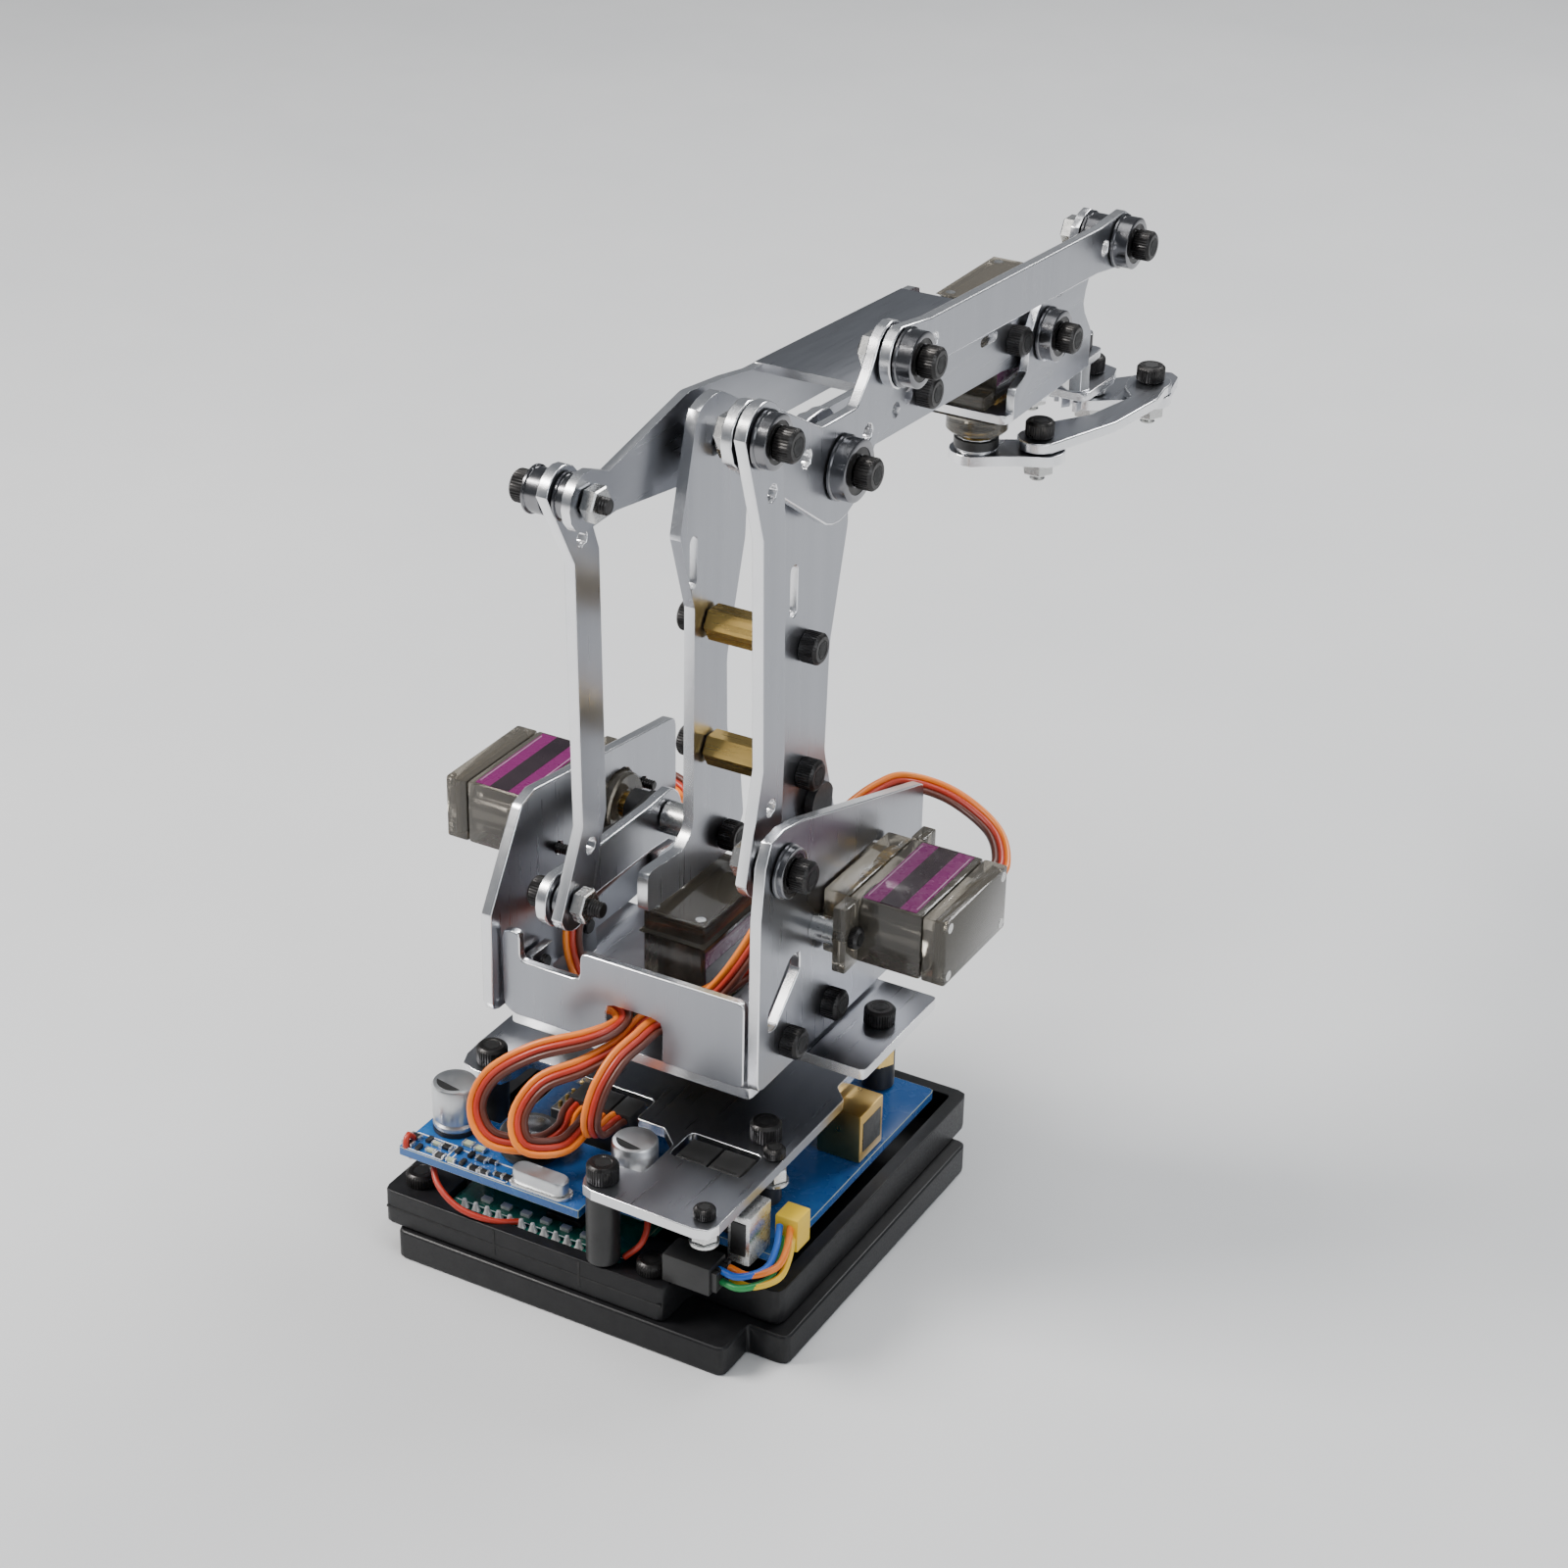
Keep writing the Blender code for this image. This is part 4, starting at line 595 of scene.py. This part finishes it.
def servo(node, origin, along, up):
    """A micro servo: moulded smoke case in three parts over its motor and gears, and a printed label."""
    u = Vector(along)
    w = Vector(up)
    frame_of = Matrix((u, w.cross(u), w)).transposed().to_4x4()
    frame_of.translation = Vector(origin)
    body = frame["nodes"][node]["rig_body"]
    case = Piece()
    case.frame = frame_of
    for low, high in ((0.05, 4.4), (4.6, 17.8), (18.0, CASE_TOP)):
        case.block((-CASE_NEAR + 0.02, -CASE_HALF + STICKER, low),
                   (CASE_FAR - 0.02, CASE_HALF - STICKER, high), SMOKE, 0.5)
    for side, near in ((-1, -CASE_NEAR), (1, CASE_FAR)):
        low, high = sorted((near + side * 0.1, near + side * (TAB_REACH - 0.05)))
        case.block((low, -CASE_HALF + 0.05, TAB_LOW), (high, CASE_HALF - 0.05, TAB_HIGH), SMOKE, 0.35)
    case.lathe([(0, CASE_TOP + 0.05), (5.8, CASE_TOP + 0.05), (5.8, 26.3), (5.4, 26.7), (2.9, 26.7),
                (2.9, 26.4), (0, 26.4)], (0, 0, 0), "Z", SMOKE, 40)
    case.place(node + "_case", body, (node,))

    works = Piece()
    works.frame = frame_of
    works.lathe([(0, 4.8), (4.2, 4.8), (4.6, 5.2), (4.6, 16.2), (4.0, 16.8), (0, 16.8)],
                (11.4, 0, 0), "Z", RACE, 32)
    works.lathe([(0, 18.4), (4.4, 18.4), (4.4, 19.6), (2.2, 19.6), (2.2, 21.2), (0, 21.2)],
                (5.6, 0, 0), "Z", BRASS, 28)
    works.lathe([(0, 18.2), (4.9, 18.2), (4.9, 20.6), (0, 20.6)], (0, 0, 0), "Z", BRASS, 28)
    works.block((-4.9, -4.9, 5.0), (4.6, 4.9, 13.6), NYLON, 0.4)
    works.block((-5.0, -5.1, 1.6), (15.6, 5.1, 2.6), INSIDE, 0.1)
    works.place(node + "_works", body)

    trim = Piece()
    trim.frame = frame_of
    trim.lathe([(0, 26.4), (2.35, 26.4), (2.35, 27.4), (2.0, 27.5), (0, 27.5)],
               (0, 0, 0), "Z", BRASS, 24, 0.15)
    for a in (-CASE_NEAR + 1.6, CASE_FAR - 1.6):
        for b in (-CASE_HALF + 1.6, CASE_HALF - 1.6):
            trim.lathe([(0, 0.01), (0.5, 0.01), (0.9, 0.03), (0.9, 0.9), (0, 0.9)], (a, b, 0), "Z", ZINC, 16)
    band = BAND * (LABEL[1] - LABEL[0])
    for side in (-1, 1):
        skin = sorted((side * (CASE_HALF - STICKER - 0.02), side * (CASE_HALF - 0.04)))
        print_on = sorted((side * (CASE_HALF - 0.06), side * CASE_HALF))
        ends = (-CASE_NEAR + 0.7, CASE_FAR - 0.7)
        trim.block((ends[0], skin[0], LABEL[0]), (ends[1], skin[1], LABEL[1]), MAGENTA, 0.0)
        trim.block((ends[0], print_on[0], LABEL[0] + band), (ends[1], print_on[1], LABEL[1] - band),
                   LABEL_BLACK, 0.0)
        for level in (LABEL[0] + 0.35, LABEL[1] - 0.5):
            trim.block((ends[0] + 1, print_on[0], level), (ends[1] - 1, print_on[1], level + 0.12),
                       LABEL_LINE, 0.0)
    trim.place(node + "_trim", body)


YAW = (0.0, 13.5)
SHOULDER = (17.8, 64.2)
GRIP = (4.5, 97.0)
SERVO_OUT = 49.0
servo("yaw_servo", (*YAW, 58.9), (0, -1, 0), (0, 0, -1))
servo("shoulder_servo", (SERVO_OUT, *SHOULDER), (0, -1, 0), (-1, 0, 0))
servo("elbow_servo", (-SERVO_OUT, *SHOULDER), (0, -1, 0), (1, 0, 0))
servo("gripper_servo", (*GRIP, 140.5), (0, 1, 0), (0, 0, -1))


# ---- fasteners that carry no link ------------------------------------------------------------------
turret_screws = Piece()
for side in (-1, 1):
    for y in (-10.0, 4.0, 31.0):
        turret_screws.cap_screw(side * 26.05, side * 29.0, (0, y, 46.6), "X", tip=side * 21.0)
    turret_screws.cap_screw(40.25, 43.2, (side * 32.0, 12.0, 0), "Z", tip=31.0)
    turret_screws.nut(32.2, 38.1, (side * 32.0, 12.0, 0), "Z", BRASS, 3.0)
    for y in (26.2, -1.4):
        turret_screws.cap_screw(side * 33.15, side * 34.7, (0, y, 64.2), "X", 1.9, side * 21.4, 0.95)
        low, high = sorted((side * 26.05, side * 30.5))
        turret_screws.lathe([(1.0, low), (2.2, low), (2.2, high), (1.0, high)], (0, y, 64.2), "X", ZINC, 24)
for y in (21.9, -5.7):
    turret_screws.cap_screw(43.05, 44.5, (0, y, 0), "Z", 1.8)
turret_screws.place("turret_fixings", "turret")

base_screws = Piece()
for spot in ((-31.0, -35.0), (16.0, -36.0), (-31.0, 34.2), (16.0, 34.2)):
    base_screws.cap_screw(12.55, 14.9, (*spot, 0), "Z", tip=6.2)
for spot in ((27.0, -38.0), (28.4, -17.6)):
    base_screws.cap_screw(28.75, 30.6, (*spot, 0), "Z", 1.9, 22.0, 1.0)
    base_screws.nut(24.3, 26.6, (*spot, 0), "Z", SOLDER, 2.3)
    base_screws.lathe([(1.0, 23.7), (2.5, 23.7), (2.5, 24.2), (1.0, 24.2)], (*spot, 0), "Z", SOLDER, 28)
base_screws.place("base_fixings", "base")

for i in range(1, 6):
    node = f"plate_post_{i}"
    low, high = (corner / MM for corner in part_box(node))
    middle = (low + high) / 2
    middle.z = 0.0
    post = Piece()
    post.cap_screw(28.75, high.z, middle, "Z", tip=26.5)
    post.prism(polygon(2.9, 24), low.z, 26.65, middle, "Z", NYLON, 0.2)
    post.place(node + "_set", "base", (node,))

arm_screws = Piece()
ELBOW = Vector((15.5, 138.3))
FLANGE_SEAT = 13.05
reach = Vector((85.0, -5.0)).normalized()
for along in (41.0, 76.6):
    spot = ELBOW + reach * along + Vector((-reach.y, reach.x)) * 0.45
    arm_screws.cap_screw(FLANGE_SEAT, FLANGE_SEAT + 3.0, (0, *spot), "X", tip=11.0)
arm_screws.place("channel_screws", "upper_arm")
sleeve = Piece()
sleeve.lathe([(3.82, 110.4), (4.2, 110.6), (4.2, 112.3), (3.82, 112.5)], (*GRIP, 0), "Z", NYLON, 40)
sleeve.place("lever_sleeve", "lever")
grip_screws = Piece()
for y in (88.6, 116.2):
    grip_screws.cap_screw(124.65, 126.1, (4.5, y, 0), "Z", 1.8)
for x in (-2.6, 11.4):
    grip_screws.lathe([(0, 0), (2.75, 0), (2.75, 2.9), (0, 2.9)], (x, 125.0, 122.1), "Z", OXIDE, 40, 0.1)
grip_screws.place("gripper_fixings", "gripper")


# ---- boards ----------------------------------------------------------------------------------------
for node, mask, slot in (("main_board", MASK_BLUE, "blue_board"), ("power_board", MASK_BLUE, "blue_board"),
                         ("receiver_board", MASK_GREEN, "green_board")):
    eased_copy(node, mask, LAMINATE, 0.08)

POWER_TOP = 21.25           # the upper faces of the power board and the receiver board
RECEIVER_TOP = 11.4
for node in ("capacitor_left", "capacitor_right"):
    middle = centre_of(node)
    can = Piece()
    spot = (middle.x, middle.y, POWER_TOP + 0.25)
    can.lathe([(0, -0.2), (3.98, -0.2), (3.98, 0.6), (0, 0.6)], spot, "Z", NYLON, 40)
    can.lathe([(0, 0.5), (3.75, 0.5), (3.95, 0.9), (3.95, 1.5), (3.6, 1.9), (3.95, 2.4), (3.95, 8.6),
               (3.7, 9.0), (3.3, 9.1), (0, 9.1)], spot, "Z", CAN, 48)
    half = [(3.1 * math.cos(math.radians(a)), 3.1 * math.sin(math.radians(a))) for a in range(200, 321, 12)]
    can.prism(half, 9.1, 9.16, spot, "Z", NYLON)
    can.place(node + "_can", "base", (node,))

parts = Piece()
CHOKE = (-13.0, -28.0, POWER_TOP)
parts.lathe([(0, 0), (5.0, 0), (5.4, 0.6), (5.4, 1.0), (4.4, 1.3), (4.4, 3.2), (5.4, 3.5), (5.4, 3.9),
             (5.0, 4.3), (2.6, 4.4), (2.4, 4.1), (0, 4.1)], CHOKE, "Z", NYLON, 48)
parts.lathe([(0, 4.15), (3.9, 4.15), (3.9, 4.5), (3.7, 4.6), (0, 4.6)], CHOKE, "Z", RACE, 40)
oblong = [(3.6 * side + 1.7 * math.cos(math.radians(a)), 1.7 * math.sin(math.radians(a)))
          for side, start in ((1, -90), (-1, 90)) for a in range(start, start + 181, 15)]
OBLONG_CAN = (-5.6, -36.4, POWER_TOP)
parts.prism([(1.14 * a, 1.14 * b) for a, b in oblong], 0.0, 0.5, OBLONG_CAN, "Z", SOLDER)
parts.prism(oblong, 0.5, 3.2, OBLONG_CAN, "Z", CAN, 0.3)
can_at = centre_of("capacitor_left")
rng = random.Random(5)
# Small parts in three rows, leaving out those that would stand under the left can or the choke.
for k in range(30):
    x = -32.0 + 20.5 * (k % 10) / 9 + rng.uniform(-0.4, 0.4)
    y = -37.4 + 2.6 * (k // 10) + rng.uniform(-0.3, 0.3)
    if math.dist((x, y), can_at[:2]) < 6.0 or math.dist((x, y), CHOKE[:2]) < 7.0:
        continue
    w, d = rng.choice(((1.6, 0.8), (0.8, 1.6), (1.9, 1.2)))
    shell = rng.choice((NYLON, LAMINATE, ABS))
    parts.block((x - w / 2, y - d / 2, POWER_TOP), (x + w / 2, y + d / 2, POWER_TOP + 0.6), shell, 0.08)
    if w > d:
        for end in (-1, 1):
            a, b = sorted((x + end * w * 0.36, x + end * (w / 2 + 0.12)))
            parts.block((a, y - d / 2 - 0.05, POWER_TOP), (b, y + d / 2 + 0.05, POWER_TOP + 0.65),
                        SOLDER, 0.05)
# White printed boxes around groups of parts.
for low, high in (((-32.6, -38.3), (-24.2, -33.4)), ((-23.4, -38.3), (-11.4, -33.9)),
                  ((3.0, -33.2), (12.4, -22.0))):
    for a, b in (((low[0], low[1]), (high[0], low[1] + 0.2)), ((low[0], high[1] - 0.2), (high[0], high[1])),
                 ((low[0], low[1]), (low[0] + 0.2, high[1])), ((high[0] - 0.2, low[1]), (high[0], high[1]))):
        parts.block((*a, POWER_TOP - 0.05), (*b, POWER_TOP + 0.03), SILK, 0.0)
parts.place("power_parts", "base")

pins = Piece()
for k in range(13):
    x = -21.5 + 2.3 * k
    pins.lathe([(0, 0.0), (0.85, 0.0), (0.6, 0.5), (0.35, 1.6), (0, 1.8)],
               (x, -36.0, RECEIVER_TOP), "Z", TINNED, 12)
for k in range(7):
    pins.block((-20.0 + 4.0 * k, -33.4, RECEIVER_TOP), (-18.2 + 4.0 * k, -32.2, RECEIVER_TOP + 0.7),
               TINNED, 0.1)
pins.block((-8.0, -31.4, RECEIVER_TOP), (-1.0, -25.4, RECEIVER_TOP + 1.2), NYLON, 0.2)
pins.block((-24.2, -34.8, RECEIVER_TOP - 0.02), (9.5, -34.6, RECEIVER_TOP + 0.03), SILK, 0.0)
for k in range(6):
    for row in (-19.6, -17.4, -15.4):
        pins.block((-13.0 + 2.5 * k, row, 24.6), (-12.4 + 2.5 * k, row + 0.6, 26.4), GOLD, 0.1)
pins.place("board_pins", "base")

plugs = Piece()
plugs.block((19.2, -38.4, 13.2), (28.2, -33.0, 18.6), NYLON, 0.3)
for k in range(4):
    plugs.block((28.15, -37.9 + 1.25 * k, 14.0), (29.3, -36.9 + 1.25 * k, 17.8), NYLON, 0.15)
plugs.block((32.3, -24.1, 16.1), (36.6, -19.6, 22.4), WIRES["yellow"], 0.3)
for x in (13.8, 20.1):
    plugs.block((x, -25.4, 25.5), (x + 5.9, -19.4, 28.2), NYLON, 0.3)
    # A near-black strip on each plug's top: painted shade standing for its opening.
    plugs.block((x + 0.9, -24.9, 28.1), (x + 5.0, -24.5, 28.3), RECESS_SHADE, 0.0)
for x in (-8.6, -4.3, -0.1):
    plugs.block((x - 1.9, -20.2, 25.45), (x + 1.9, -14.8, 28.6), NYLON, 0.25)
plugs.place("plug_shells", "base")

sockets = Piece()
sockets.block((27.6, -31.6, 16.1), (31.8, -24.4, 25.6), SOLDER, 0.35)
sockets.block((28.3, -31.8, 18.0), (31.1, -31.5, 24.4), NYLON, 0.1)
sockets.block((25.0, 3.6, 16.1), (33.4, 12.0, 25.8), GOLD, 0.4)
sockets.block((33.3, 4.6, 18.0), (33.5, 11.0, 23.8), NYLON, 0.05)
sockets.place("socket_shells", "base")

board_leads = Piece()
for route in (
    [(-29.0, -34.0, 19.2), (-25.5, -38.4, 16.6), (-20.0, -40.0, 14.2), (-14.0, -38.6, 12.8),
     (-10.0, -35.5, 12.2)],
    [(-32.0, -35.4, 21.3), (-32.1, -36.8, 22.9), (-31.9, -38.0, 21.8), (-31.4, -37.4, 19.2),
     (-29.5, -33.0, 17.4)],
    [(9.0, -30.0, 22.0), (13.4, -33.4, 20.6), (14.0, -36.0, 17.4), (11.0, -36.6, 13.6)],
):
    board_leads.tube(smooth(route, 0.9), 0.55, WIRES["red"], 10)
board_leads.place("board_leads", "base", angle=60)


# ---- base details ----------------------------------------------------------------------------------
# Thin near-black strips on the tray's front: painted shade standing for its grooves, which are not cut into
# it.
groove_shade = Piece()
for x in (-13.0, 4.0):
    groove_shade.block((x - 0.25, -40.06, 7.0), (x + 0.25, -39.7, 12.2), RECESS_SHADE, 0.0)
groove_shade.block((-35.0, -40.05, 8.9), (20.0, -39.8, 9.3), RECESS_SHADE, 0.0)
groove_shade.place("tray_groove_shade", "base")


# ---- floor and light -------------------------------------------------------------------------------
floor_mesh = bpy.data.meshes.new("floor")
floor_mesh.from_pydata([(-9, -9, 0), (9, -9, 0), (9, 9, 0), (-9, 9, 0)], [], [(0, 1, 2, 3)])
floor_mesh.materials.append(
    finish("pale_floor", (0.60, 0.61, 0.62), (0.64, 0.645, 0.65), 0.0, 0.7, 0.05, 60.0, 0.05)
)
floor = bpy.data.objects.new("floor", floor_mesh)
bpy.context.scene.collection.objects.link(floor)


def lamp(name, spot, aim, size, power, colour=(1, 1, 1)):
    """A soft rectangular light."""
    light = bpy.data.lights.new(name, "AREA")
    light.shape = "RECTANGLE"
    light.size, light.size_y = size
    light.energy = power
    light.color = colour
    obj = bpy.data.objects.new(name, light)
    obj.location = spot
    obj.rotation_euler = (Vector(spot) - Vector(aim)).to_track_quat("Z", "Y").to_euler()
    bpy.context.scene.collection.objects.link(obj)


TARGET = (0.0, 0.03, 0.08)
lamp("key", (-0.65, -0.35, 0.75), TARGET, (0.40, 0.35), 14.0, (1.0, 0.97, 0.94))
lamp("right_fill", (0.8, -0.25, 0.45), TARGET, (0.5, 0.6), 3.0, (0.92, 0.96, 1.0))
lamp("back_rim", (0.15, 0.8, 0.8), TARGET, (0.6, 0.35), 9.0)
lamp("top", (0.0, 0.0, 1.0), TARGET, (0.6, 0.6), 5.0)

world = bpy.data.worlds.new("studio")
bpy.context.scene.world = world
world.use_nodes = True
world.node_tree.nodes["Background"].inputs["Color"].default_value = (0.62, 0.66, 0.72, 1.0)
world.node_tree.nodes["Background"].inputs["Strength"].default_value = 0.25
